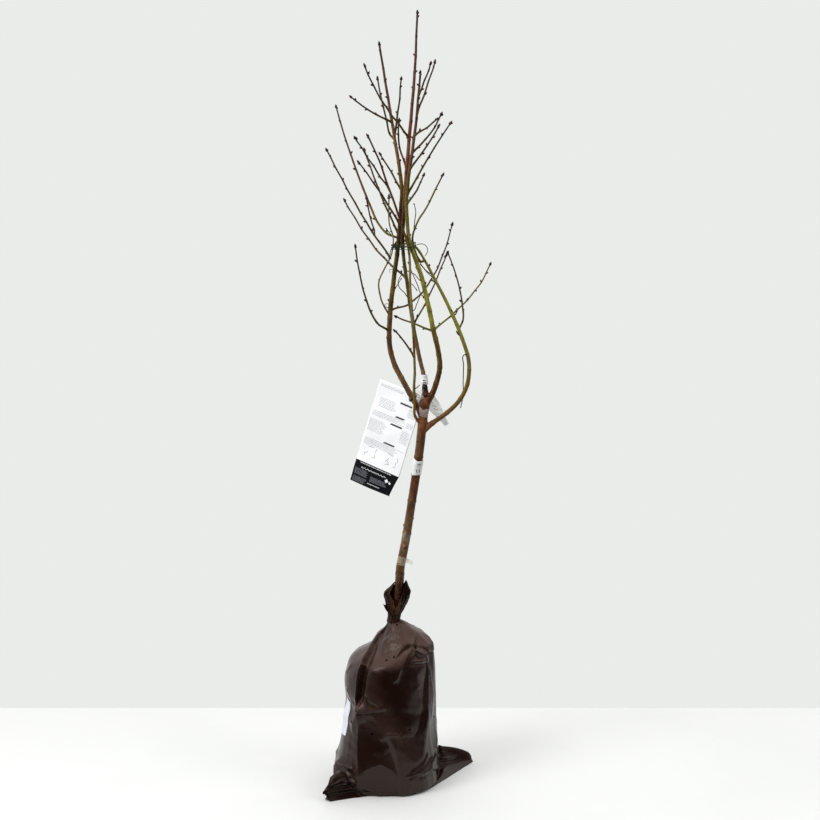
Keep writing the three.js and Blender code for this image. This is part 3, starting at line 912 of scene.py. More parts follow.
STEMS = {
    "trunk": Stem(
        ("trunk",),
        ((260, Tone.SHADED), (390, Tone.SHADED), (450, Tone.BROWN), (505, Tone.PALE),
         (570, Tone.BROWN), (625, Tone.RUSSET), (690, Tone.BROWN), (750, Tone.CHESTNUT)),
        node_gap=74.0, kink=0.7, buds_from=2000.0),
    "left": Stem(
        ("left_bough_lower", "left_bough_upper", "left_leader"),
        ((750, Tone.BROWN), (830, Tone.PALE), (900, Tone.BROWN), (1000, Tone.EARTH),
         (1070, Tone.DARK_OLIVE), (1150, Tone.SHADED), (1200, Tone.EARTH), (1270, Tone.PALE),
         (1380, Tone.PLUM), (1470, Tone.TIP)),
        "trunk", node_gap=30.0),
    "right": Stem(
        ("right_bough_lower", "right_bough_upper", "right_leader"),
        ((770, Tone.RUSSET), (880, Tone.EARTH), (910, Tone.EARTH), (940, Tone.BRIGHT_GREEN),
         (1030, Tone.BRIGHT_GREEN), (1090, Tone.GREEN), (1200, Tone.DARK_OLIVE),
         (1260, Tone.PLUM), (1420, Tone.TIP)),
        "trunk", node_gap=32.0),
    "centre": Stem(
        ("centre_bough", "tall_leader"),
        ((770, Tone.RUSSET), (800, Tone.SHADED), (812, Tone.SHADED), (825, Tone.PALE),
         (880, Tone.PALE), (920, Tone.OLIVE), (980, Tone.EARTH), (1040, Tone.OLIVE),
         (1095, Tone.SHADED), (1160, Tone.BROWN), (1240, Tone.MAROON), (1380, Tone.PLUM),
         (1530, Tone.TIP)),
        "trunk", node_gap=30.0),
    "far_right": Stem(
        ("far_right_bough_lower", "far_right_bough_upper", "crossing_leader"),
        ((720, Tone.BROWN), (800, Tone.EARTH), (860, Tone.OLIVE), (920, Tone.GREEN),
         (1060, Tone.GREEN), (1110, Tone.OLIVE), (1160, Tone.EARTH), (1210, Tone.PLUM),
         (1350, Tone.TIP)),
        "trunk", node_gap=34.0, flare=0.3),
    "front": Stem(
        ("front_stem", "front_leader"),
        ((690, Tone.EARTH), (790, Tone.EARTH), (820, Tone.OLIVE), (870, Tone.OLIVE),
         (900, Tone.RUSSET), (930, Tone.OLIVE), (1020, Tone.OLIVE), (1140, Tone.DARK),
         (1200, Tone.BROWN), (1300, Tone.TIP)),
        "trunk", flare=0.35, node_gap=34.0, buds_from=1120.0, bud=3.8),
    "right_fork": Stem(
        ("right_fork", "right_fork_leader"),
        ((1000, Tone.OLIVE), (1080, Tone.DARK_OLIVE), (1130, Tone.OLIVE), (1180, Tone.OLIVE),
         (1230, Tone.TIP)),
        "far_right", node_gap=30.0, buds_from=1100.0, bud=3.6),
    "tucked": Stem(
        ("tucked_shoot", "tucked_leader"),
        ((960, Tone.EARTH), (1100, Tone.OLIVE), (1185, Tone.DARK_OLIVE)),
        "left", node_gap=30.0, buds_from=1000.0, bud=3.4),
}
SHOOT_TONES = {                 # at the foot and at the tip
    "low_left_shoot": (Tone.DARK_OLIVE, Tone.PLUM),
    "long_left_shoot": (Tone.OLIVE, Tone.PLUM),
    "low_right_shoot_2": (Tone.OLIVE, Tone.PLUM),
    "low_right_shoot_3": (Tone.OLIVE, Tone.PLUM),
    "low_right_shoot_4": (Tone.GREEN, Tone.EARTH),
    "inner_right_shoot": (Tone.GREEN, Tone.RUSSET),
    "top_inner_shoot_2": (Tone.MAROON, Tone.PLUM),
}
USUAL_SHOOT = (Tone.EARTH, Tone.TIP)
BUD_BROWNS = ("2c1c18", "36231d", "231614", "3f2a22", "4a3226")


@dataclass(frozen=True)
class FineTwig:
    """A twig too thin for the frame, as steps away from the limb it grows on."""

    stem: str
    height: float
    way: tuple[tuple[float, float, float], ...]
    girth: tuple[float, float] = (1.0, 0.75)
    colour: str = "4a3a2a"
    budded: bool = True


FINE_TWIGS = (
    FineTwig("right_fork", 1110, ((2, 0, 20), (4, -2, 40), (1, -3, 53))),
    FineTwig("left", 1097, ((-12, -8, 6), (-23, -12, 19))),
    FineTwig("left", 994, ((7, -4, 10), (17, -7, 26))),
    FineTwig("centre", 976, ((-9, -3, 15), (-20, -5, 27), (-22, -6, 37), (-15, -8, 52))),
    FineTwig("centre", 1017, ((3, -5, -2), (12, -8, -9), (19, -9, -18))),
    FineTwig("right", 1015, ((-5, -3, 2), (-16, -5, 14), (-28, -6, 20))),
    FineTwig("right", 984, ((-8, 4, 3), (-17, 8, 23), (-25, 8, 41), (-35, 6, 66))),
    FineTwig("front", 960, ((4, -2, 2), (9, -3, 13), (16, -4, 31))),
    FineTwig("far_right", 1025, ((-14, -6, 11), (-26, -10, 27))),
    FineTwig("far_right", 1017, ((-13, 6, 11), (-27, 9, 27))),
    FineTwig("far_right", 946, ((5, -1, 3), (8, -2, 9)), (1.5, 1.3), "4a4028"),
    FineTwig("far_right", 906, ((-6, -3, 4), (-9, -4, 9)), (1.5, 1.3), "4a4028"),
    FineTwig("front", 806, ((5, -3, 3), (11, -6, 9)), (1.1, 0.8), "2a2018", False),
    FineTwig("left", 965, ((-7, -6, 0), (-11, -9, 3), (-9, -11, 8), (-4, -10, 7)),
             (0.7, 0.45), "3c3420", False),
    FineTwig("left", 1036, ((-5, -6, 2), (-10, -8, 1), (-9, -9, -5)), (0.6, 0.4), "3c3420", False),
    FineTwig("far_right", 868, ((-3, -4, 3), (-7.5, -4, 1), (-8, -2, -20), (-8.5, 4, -52),
                                (-8.5, 12, -84), (-13, 11, -106)), (1.1, 0.95), "33271f", False),
)


@dataclass(frozen=True)
class Mark:
    """A patch of another colour on the thick wood, with a knob under it if it stands out."""

    stem: str
    height: float
    heading: float                  # degrees from +X, seen from above
    reach: float
    colour: str
    knob: float = 0.0


MARKS = (
    Mark("trunk", 508, 262, 8.0, "8b7d6c"), Mark("trunk", 486, 285, 4.5, "3c120c", 1.6),
    Mark("trunk", 490, 262, 3.2, "a87463"), Mark("trunk", 528, 185, 3.5, "3a2416", 2.6),
    Mark("trunk", 542, 350, 3.2, "3a2416", 2.3), Mark("trunk", 434, 300, 3.0, "2c1b12", 2.2),
    Mark("trunk", 587, 320, 3.6, "2f1d14", 1.5), Mark("trunk", 700, 225, 3.4, "3a2114", 2.0),
    Mark("trunk", 600, 100, 3.4, "3a2114", 2.0), Mark("trunk", 470, 80, 3.8, "7d6f5f", 1.4),
    Mark("trunk", 665, 40, 3.4, "3a2114", 2.2),
    Mark("left", 838, 200, 3.0, "3a241a", 1.8), Mark("left", 905, 190, 2.6, "3a241a", 1.6),
    Mark("right", 835, 350, 2.8, "3c2114", 1.8), Mark("right", 905, 10, 2.6, "3a2a14", 1.6),
    Mark("right", 950, 250, 3.0, "8a8a48"), Mark("centre", 806, 270, 6.0, "2a0f0a", 1.2),
    Mark("centre", 870, 170, 2.4, "3a2c20", 1.4), Mark("centre", 960, 350, 2.4, "3a2c20", 1.4),
)


def colours_by(pairs: Sequence[tuple[float, Tone]], at: Array) -> Array:
    """Linear colours between tones set at heights, a little richer than those tones.

    Args:
        pairs: each height with its tone.
        at: the heights to colour.

    Returns:
        One colour for each height.
    """
    places = [place for place, _ in pairs]
    codes = np.array([shade(tone.value) for _, tone in pairs])
    colours = np.stack([np.interp(at, places, codes[:, band]) for band in range(4)], axis=1)
    grey = colours[:, :3].mean(axis=1, keepdims=True)
    green = ease(0.7, 0.95, colours[:, 1] / colours[:, 0])[:, None]
    rich = RICHNESS * (1 - green) + GREEN_RICHNESS * green
    colours[:, :3] = np.clip(grey + rich * (colours[:, :3] - grey), 0.002, 1) * GAIN
    return colours


@dataclass
class Wood:
    """All the living wood: trunk, boughs, leaders, shoots, twigs and what grows on them."""

    trees: Trees
    seed: int = 19
    step: float = 1.8               # distance between rings along a limb
    swelling: float = 0.11          # share by which a limb is thicker at a bud's place
    swell_reach: float = 2.4
    tip_cut: float = 7.4            # the last of each tip is its end bud
    next_bud: float = 2.4           # turn round the limb from one bud to the next
    voxel: float = 1.0
    relief: float = 0.9
    plumper: float = 1.27           # how much the shoots' bark adds to their girth
    darker: float = 0.60            # how much darker the shoots are than their tones
    slightly_plumper: float = 1.14  # the same for the low shoots on the right
    slightly_darker: float = 0.78
    leader_gain: float = 0.18       # how much their bark adds to the leaders above the tie
    leader_from: tuple[float, float] = (20.0, 120.0)    # where that begins and is whole
    end_bud: tuple[float, float] = (8.4, 0.56)          # length, and width as a share of it
    stoutness: float = 0.62         # the same share for the buds beside it
    joined: tuple[str, ...] = ("trunk", "left", "right", "centre")
    lines: dict[str, Line] = field(default_factory=dict)
    buds: list[tuple[Array, Array, Array, tuple]] = field(default_factory=list)

    def __post_init__(self) -> None:
        """Reads every limb from the frame, parents first."""
        self.random = np.random.default_rng(self.seed)
        self.reader = FrameLimbs()
        self.young = Bark("young_bark", roughness=0.42, mottle=0.28, depth=0.16)
        for name, stem in STEMS.items():
            self.read(name, stem)
        self.shoots = [node for node in frame["nodes"] if "shoot" in node and "tucked" not in node]
        self.shoots.sort(key=lambda node: (node.endswith("side_shoot"), node))
        for name in self.lines:
            line = self.lines[name]
            over_tie = line.points[:, 2] - TIE_MIDDLE
            line.radii *= 1 + self.leader_gain * ease(*self.leader_from, over_tie)
        for node in self.shoots:
            low, high = SHOOT_TONES.get(node, USUAL_SHOOT)
            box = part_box(node)
            tones = ((box[0].z / MM, low), (box[1].z / MM, high))
            self.read(node, Stem((node,), tones, node_gap=25.0, kink=0.8, buds_from=0.0, bud=4.4))
            slight = node.startswith("low_right")
            self.lines[node].radii *= self.slightly_plumper if slight else self.plumper
            self.lines[node].tints[:, :3] *= self.slightly_darker if slight else self.darker

    def read(self, name: str, stem: Stem) -> None:
        """Makes one limb's line: read, joined to its parent, swollen and kinked at its nodes.

        Args:
            name: name of the limb.
            stem: how it is read and dressed.
        """
        knots = self.reader.knots(stem.nodes)
        parent_radius = 0.0
        if name != "trunk":
            parents = [self.lines[p] for p in ([stem.parent] if stem.parent else self.lines)]
            parent = min(parents, key=lambda line: self.reader.distances(knots, line).min())
            foot = self.reader.foot_on(knots, parent)
            parent_radius = float(np.interp(foot[2], parent.points[:, 2], parent.radii))
            knots = np.vstack([foot, knots])
        else:
            top = knots[-1]
            knots = np.vstack([knots, top + [1.0, 0.5, 5.0, -2.2], top + [1.5, 1.0, 8.5, -6.5]])
        rows = curve_through(knots, self.step)
        along = run_along(rows[:, :3])
        rows[:, 3] *= 1 + stem.flare * np.exp(-np.maximum(along - parent_radius, 0) /
                                              (1.3 * max(parent_radius, 1.0))) * bool(parent_radius)
        _, across, other = side_axes(rows[:, :3])
        at, turn, side = stem.node_gap * 0.5 + parent_radius, self.random.uniform(0, 6.28), 1
        marks, bends = [], [0.0]
        while at < along[-1] - 0.3 * stem.node_gap:
            marks.append(at)
            bends.append(side * stem.kink * self.random.uniform(0.5, 1.2))
            at += stem.node_gap * self.random.uniform(0.75, 1.25)
            side = -side
        lean = across * math.cos(turn) + other * math.sin(turn)
        aside = np.interp(along, [0.0, *marks, along[-1]], [*bends, 0.0])
        kernel = np.ones(3) / 3
        aside = np.convolve(np.pad(aside, 1, "edge"), kernel, "valid")
        points = rows[:, :3] + lean * aside[:, None]
        for mark in marks:
            rows[:, 3] *= 1 + self.swelling * np.exp(-((along - mark) / self.swell_reach) ** 2)
        self.lines[name] = Line(points, rows[:, 3], colours_by(stem.tones, points[:, 2]))
        self.bud_up(name, stem, marks, along, lean)

    def bud_up(self, name: str, stem: Stem, marks: list[float], along: Array, lean: Array) -> None:
        """Sets buds at a limb's nodes, on alternate sides, and a cluster at its tip.

        Args:
            name: name of the limb.
            stem: how it is dressed.
            marks: how far along the limb its nodes are.
            along: how far along it each of its points is.
            lean: the way it bends aside at each point.
        """
        line = self.lines[name]
        heading = unit(np.gradient(line.points, axis=0))
        for count, mark in enumerate(marks):
            row = int(np.searchsorted(along, mark))
            if line.points[row, 2] < stem.buds_from:
                continue
            turn = self.next_bud * count + self.random.normal(0, 0.25)
            out = lean[row] * math.cos(turn) + np.cross(heading[row], lean[row]) * math.sin(turn)
            out = unit(out)
            aim = unit(0.72 * out + heading[row] * self.random.uniform(0.5, 1.0))
            place = line.points[row] + out * line.radii[row] * 0.7
            self.add_bud(place, aim, stem.bud * self.random.uniform(1.2, 1.75), 0.6)
        if name == "trunk":
            return
        tip, way = line.points[-1], heading[-1]
        base = tip - way * (self.tip_cut + 0.4)
        self.add_bud(base, way, *self.end_bud)
        for turn in (0.3, 2.6, 4.4):
            out = unit(lean[-1] * math.cos(turn) + np.cross(way, lean[-1]) * math.sin(turn))
            place = base - way * self.random.uniform(0.5, 3.5) + out * line.radii[-1] * 0.7
            self.add_bud(place, unit(0.7 * out + 1.3 * way), self.random.uniform(4.4, 5.8),
                         self.stoutness)

    def add_bud(self, place: Array, aim: Array, length: float, stout: float) -> None:
        """Notes one bud, its colour drawn from a few plain browns.

        Args:
            place: its foot.
            aim: the way it points.
            length: its length.
            stout: its width as a share of its length.
        """
        colour = shade(BUD_BROWNS[self.random.integers(len(BUD_BROWNS))])
        self.buds.append((place, aim, np.array([stout, stout, 1.0]) * length * MM, colour))

    def line_mesh(self, name: str, lines: Sequence[Line]) -> bpy.types.Object:
        """Lines as one mesh of edges, with their girths and tints.

        Args:
            name: name of the mesh.
            lines: the lines.

        Returns:
            The mesh's object.
        """
        points, girths, tints, edges, start = [], [], [], [], 0
        for line in lines:
            count = len(line.points)
            points.append(line.points)
            girths.append(line.radii * MM)
            tints.append(line.tints)
            edges += [(start + k, start + k + 1) for k in range(count - 1)]
            start += count
        mesh = new_mesh(name, np.vstack(points), [], edges)
        set_values(mesh, "girth", np.concatenate(girths))
        set_values(mesh, "tint", np.vstack(tints))
        return put(mesh)

    def sweep(self, name: str, lines: Sequence[Line], sides: int, relief: float,
              finish: bpy.types.Material) -> bpy.types.Object:
        """Round limbs along lines."""
        thing = self.line_mesh(name, lines)
        return grow(thing, self.trees.sweep, Sides=sides, Relief=relief * MM,
                    Seed=float(self.seed), Finish=finish)

    def rounded(self, line: Line, cut: float) -> Line:
        """A line cut short at its tip, with a rounded end.

        Args:
            line: the line.
            cut: how much of its tip goes.

        Returns:
            The shorter line.
        """
        along = run_along(line.points)
        keep = along <= along[-1] - cut
        points, radii, tints = line.points[keep], line.radii[keep].copy(), line.tints[keep]
        way = unit(points[-1] - points[-2])
        end = radii[-1]
        extra = [points[-1] + way * end * reach for reach in (0.45, 0.75)]
        return Line(np.vstack([points, *extra]), np.r_[radii, end * 0.8, end * 0.4],
                    np.vstack([tints, tints[-1:], tints[-1:]]))

    def knobs(self) -> list[Line]:
        """Short stout lines that stand out of the wood where a mark has a knob.

        Returns:
            One line for each knob.
        """
        found = []
        for mark in MARKS:
            if mark.knob:
                middle, radius, _ = self.lines[mark.stem].at_height(mark.height)
                turn = math.radians(mark.heading)
                out = np.array([math.cos(turn), math.sin(turn), 0.25])
                reach = np.array([0.3, 0.75, 0.95, 1.05]) * (radius + mark.knob * 0.55)
                girth = mark.knob * np.array([1.5, 1.25, 0.9, 0.4])
                points = middle + unit(out) * reach[:, None]
                found.append(Line(points, girth, np.zeros((4, 4))))
        return found

    def stubs(self) -> list[Line]:
        """Collars of the two thinner stems that leave the trunk.

        Returns:
            One line for each collar.
        """
        found = []
        for name in ("far_right", "front"):
            line = self.lines[name]
            low = line.points[0, 2]
            part = line.stretch(low, low + 34)
            grown = np.interp(part.points[:, 2], [low, low + 12, low + 34], [1.4, 1.12, 0.75])
            found.append(Line(part.points, part.radii * grown, part.tints))
        return found

    def thick_wood(self) -> bpy.types.Object:
        """Trunk and three boughs as one skin with webbed forks and bark relief.

        Returns:
            The piece.
        """
        lines = [self.lines["trunk"]]
        lines += [self.lines[name].stretch(0, TIE_MIDDLE) for name in self.joined[1:]]
        finish = Bark("old_bark", roughness=0.5, patch=95.0, mottle=0.55, depth=0.35).material()
        piece = self.line_mesh("trunk_and_boughs", lines + self.knobs() + self.stubs())
        grow(piece, self.trees.sweep, Sides=32, Relief=0.0, Seed=0.0, Finish=finish)
        voxels = piece.modifiers.new("skin", "REMESH")
        voxels.mode, voxels.voxel_size, voxels.use_smooth_shade = "VOXEL", self.voxel * MM, True
        smooth = piece.modifiers.new("smooth", "SMOOTH")
        smooth.factor, smooth.iterations = 0.5, 7
        settle(piece)
        self.paint(piece, lines)
        grow(piece, self.trees.relief, Relief=self.relief * MM, Seed=float(self.seed),
             Finish=finish)
        return declare(piece, "bark", [node for name in self.joined for node in STEMS[name].nodes
                                       if not node.endswith("leader")])

    def paint(self, piece: bpy.types.Object, lines: Sequence[Line]) -> None:
        """Gives each point the tint of the nearest limbs, and the marks' colours near them.

        Args:
            piece: the thick wood.
            lines: the limbs in it.
        """
        places = points_of(piece.data)
        total, colours = np.zeros(len(places)), np.zeros((len(places), 4))
        for line in lines:
            tree = kdtree.KDTree(len(line.points))
            for row, point in enumerate(line.points):
                tree.insert(point, row)
            tree.balance()
            found = [tree.find(place) for place in places]
            rows = np.array([row for _, row, _ in found])
            off = np.array([apart for _, _, apart in found]) / line.radii[rows]
            weight = np.exp(-2.2 * np.minimum(off, 40.0))
            total += weight
            colours += weight[:, None] * line.tints[rows]
        colours /= np.maximum(total, 1e-30)[:, None]
        for mark in MARKS:
            middle, radius, _ = self.lines[mark.stem].at_height(mark.height)
            turn = math.radians(mark.heading)
            spot = middle + radius * np.array([math.cos(turn), math.sin(turn), 0])
            off = np.linalg.norm((places - spot) * [1, 1, 0.8], axis=1)
            share = 0.9 * (1 - ease(0.55 * mark.reach, 1.1 * mark.reach, off))[:, None]
            colours = colours * (1 - share) + np.array(shade(mark.colour)) * share
        set_values(piece.data, "tint", colours)

    def build(self) -> list[bpy.types.Object]:
        """Builds every piece of wood.

        Returns:
            The pieces.
        """
        pieces = [self.thick_wood()]
        green = Bark("green_bark", roughness=0.4, mottle=0.22, depth=0.14).material()
        young = self.young.material()
        for name, slot, sides, finish in (
                ("left", "bark", 18, young), ("right", "bark", 18, young),
                ("centre", "bark", 18, young), ("far_right", "olive_bark", 22, green),
                ("front", "green_bark", 16, green), ("right_fork", "green_bark", 14, green),
                ("tucked", "twig_bark", 12, young)):
            line, nodes, label = self.lines[name], STEMS[name].nodes, f"{name}_stem_bark"
            if name in self.joined:
                line = line.stretch(TIE_MIDDLE - 2, 9e3)
                nodes, label = nodes[-1:], f"{nodes[-1]}_bark"
            piece = self.sweep(label, [self.rounded(line, self.tip_cut)], sides, 0.5, finish)
            pieces.append(declare(piece, slot, nodes))
        for group in ("low", "middle", "top"):
            names = [n for n in self.shoots if n.startswith(group)]
            if group == "low":
                names += [n for n in self.shoots if n.split("_")[0] in ("long", "back", "inner")]
            lines = [self.rounded(self.lines[n], self.tip_cut) for n in names]
            piece = self.sweep(f"{group}_shoots", lines, 12, 0.3, young)
            pieces.append(declare(piece, "twig_bark", names))
        pieces.append(self.fine_twigs(young))
        pieces.append(self.bud_piece())
        return pieces + self.pores(pieces)

    def fine_twigs(self, finish: bpy.types.Material) -> bpy.types.Object:
        """The thinnest twigs, spurs and curls.

        Args:
            finish: their bark.

        Returns:
            The piece.
        """
        lines = []
        for twig in FINE_TWIGS:
            foot, _, _ = self.lines[twig.stem].at_height(twig.height)
            way = np.vstack([np.zeros(3), np.array(twig.way, float)]) + foot
            girth = np.linspace(*twig.girth, len(way))[:, None]
            rows = curve_through(np.hstack([way, girth]), 1.4)
            lines.append(self.rounded(Line.plain(rows[:, :3], rows[:, 3], twig.colour), 0.0))
            if twig.budded:
                heading = unit(rows[-1, :3] - rows[-3, :3])
                self.add_bud(rows[-1, :3] - heading, heading, 4.6, self.stoutness)
        return declare(self.sweep("fine_twigs", lines, 10, 0.2, finish), "twig_bark")

    def bud_piece(self) -> bpy.types.Object:
        """Every bud.

        Returns:
            The piece.
        """
        places, aims, sizes, colours = (np.array(column) for column in zip(*self.buds))
        mesh = new_mesh("buds", places, [])
        set_values(mesh, "aim", aims)
        set_values(mesh, "size", sizes)
        set_values(mesh, "tint", colours)
        finish = Coloured("bud_scales", "3a2820", "b89a86", 0.45, 900.0, 2400.0, 0.2,
                          own_tint=True).material()
        return declare(grow(put(mesh), self.trees.buds, Finish=finish), "twig_bark")

    def pores(self, pieces: Sequence[bpy.types.Object]) -> list[bpy.types.Object]:
        """Raised breathing pores on the thick wood and the leaders.

        Args:
            pieces: the wood, its thick skin first.

        Returns:
            The pores, as one piece.
        """
        finish = Coloured("pore_cork", "8f7a5e", "6d5843", 0.75, 500.0).material()
        mesh = pieces[0].data.copy()
        mesh.name = "bark_pores"
        mesh.materials.clear()
        piece = grow(put(mesh), self.trees.specks, Spacing=4.5 * MM, Density=30000.0,
                     Width=1.1 * MM, Rise=0.5 * MM, Seed=7, Finish=finish)
        return [declare(piece, "bark")]


# ---------------------------------------------------------------- film, paper and string
def grid_normals(grid: Array, closed: bool) -> Array:
    """Unit normals of a grid of points given as rows by columns by three.

    Args:
        grid: the points.
        closed: whether the last column joins the first.

    Returns:
        One normal for each point.
    """
    upward = np.gradient(grid, axis=0)
    across = (np.roll(grid, -1, axis=1) - np.roll(grid, 1, axis=1)) if closed else \
        np.gradient(grid, axis=1)
    return unit(np.cross(across, upward))


def thin_sheet(name: str, grid: Array, thickness: float, closed: bool = False) -> bpy.types.Mesh:
    """A closed thin sheet about a grid of points.

    Args:
        name: name of the mesh.
        grid: rows by columns by three, in millimetres.
        thickness: distance between its two faces.
        closed: whether the last column joins the first.

    Returns:
        The mesh; its front points come first, its back points after them.
    """
    rows, columns = grid.shape[:2]
    push = grid_normals(grid, closed) * thickness / 2
    count = rows * columns
    faces = loft_faces(rows, columns, 0, closed)
    faces += [face[::-1] for face in loft_faces(rows, columns, count, closed)]
    last = count - columns
    for column in range(columns if closed else columns - 1):
        after = (column + 1) % columns
        faces.append((after, column, column + count, after + count))
        faces.append((last + column, last + after, last + after + count, last + column + count))
    if not closed:
        for row in range(rows - 1):
            low, high = row * columns, (row + 1) * columns
            faces.append((low, high, high + count, low + count))
            low, high = low + columns - 1, high + columns - 1
            faces.append((high, low, low + count, high + count))
    points = np.vstack([(grid + push).reshape(-1, 3), (grid - push).reshape(-1, 3)])
    return new_mesh(name, points, faces)


def waves(seed: int, across: Array, up: Array, size: float, count: int = 7) -> Array:
    """Soft uneven swell of about -1 to 1 over a surface.

    Args:
        seed: seed of the swell.
        across: place along the surface, in millimetres.
        up: place up the surface, in millimetres.
        size: rough distance between crests.
        count: number of wave trains added up.

    Returns:
        One height for each place.
    """
    random = np.random.default_rng(seed)
    total = np.zeros(np.broadcast(across, up).shape)
    for _ in range(count):
        turn, phase = random.uniform(0, 2 * math.pi, 2)
        rate = 2 * math.pi / (size * random.uniform(0.6, 1.7))
        total += np.sin(rate * (across * math.cos(turn) + up * math.sin(turn)) + phase)
    return total / math.sqrt(count)


@dataclass
class Prints:
    """Small flat bars and dots gathered for one piece of generic print."""

    trees: Trees
    rows: list[tuple] = field(default_factory=list)

    def add(self, place: Array, face: Array, aim: Array, size: tuple[float, float, float],
            colour: str) -> None:
        """Notes one mark: where, which way it faces, its long axis, its size and its colour."""
        self.rows.append((place, face, aim, np.array(size) * MM, shade(colour)))

    def build(self, name: str, slot: str, round_marks: bool = False) -> bpy.types.Object:
        """Builds the piece.

        Args:
            name: name of the piece.
            slot: the slot of its finish.
            round_marks: whether the marks are dots, not bars.

        Returns:
            The piece.
        """
        places, faces, aims, sizes, colours = (np.array(column) for column in zip(*self.rows))
        mesh = new_mesh(name, places, [])
        set_values(mesh, "face", faces)
        set_values(mesh, "aim", faces if round_marks else aims)
        set_values(mesh, "size", sizes)
        set_values(mesh, "tint", colours)
        finish = Coloured(f"{name}_ink", "303236", "e9e9ea", 0.6, 300.0, own_tint=True,
                          mirror=0.0 if round_marks else 0.5).material()
        tree = self.trees.dots if round_marks else self.trees.bars
        return declare(grow(put(mesh), tree, Finish=finish), slot)


@dataclass(frozen=True)
class Ear:
    """A welded corner of the bag, spread out on the floor."""

    angle: float
    reach: tuple[float, float]
    height: tuple[float, float]
    half: tuple[float, float]
    sagging: float
    narrowing: float
    overhang: float
    start: float = 50.0
    outline: tuple[tuple[float, ...], tuple[float, ...]] = (
        (0, 0.5, 0.88, 1, 3), (1, 0.64, 0.26, 0, -2))

    def distances(self, turns: Array, heights: Array, offsets: Array) -> Array:
        """How far the corner reaches from the middle of the bag.

        Args:
            turns: directions in degrees, one for each column.
            heights: one for each row.
            offsets: each row's middle, measured from the middle of the foot.

        Returns:
            Rows by columns; 0 where a direction misses the corner.
        """
        low = heights < max(self.height) + 2
        away = np.linspace(self.start, self.reach[1] + 16, 120)
        turn, angles = math.radians(self.angle), np.radians(turns)[None, :, None]
        x = offsets[low, None, None] + away * np.cos(angles)
        y = away * np.sin(angles)
        along = x * math.cos(turn) + y * math.sin(turn)
        aside = np.abs(y * math.cos(turn) - x * math.sin(turn))
        share = np.clip((along - self.reach[0]) / (self.reach[1] - self.reach[0]), 0, 1)
        rise = self.height[0] + (self.height[1] - self.height[0]) * share**self.sagging
        thick = self.half[0] + (self.half[1] - self.half[0]) * share**self.narrowing
        up = heights[low, None, None] / rise
        inside = thick * np.interp(up, *self.outline) - aside
        end = self.reach[1] - along + self.overhang * np.minimum(up, 1) * share
        inside = np.minimum(np.minimum(inside, end), along)
        held = inside > 0
        last = np.minimum(len(away) - 1 - np.argmax(held[..., ::-1], axis=-1), len(away) - 2)
        here = np.take_along_axis(inside, last[..., None], -1)[..., 0]
        beyond = np.take_along_axis(inside, last[..., None] + 1, -1)[..., 0]
        part = np.clip(here / np.maximum(here - beyond, 1e-6), 0, 1)
        found = np.zeros((len(heights), len(turns)))
        found[low] = np.where(held.any(-1), away[last] + part * (away[1] - away[0]), 0)
        return found


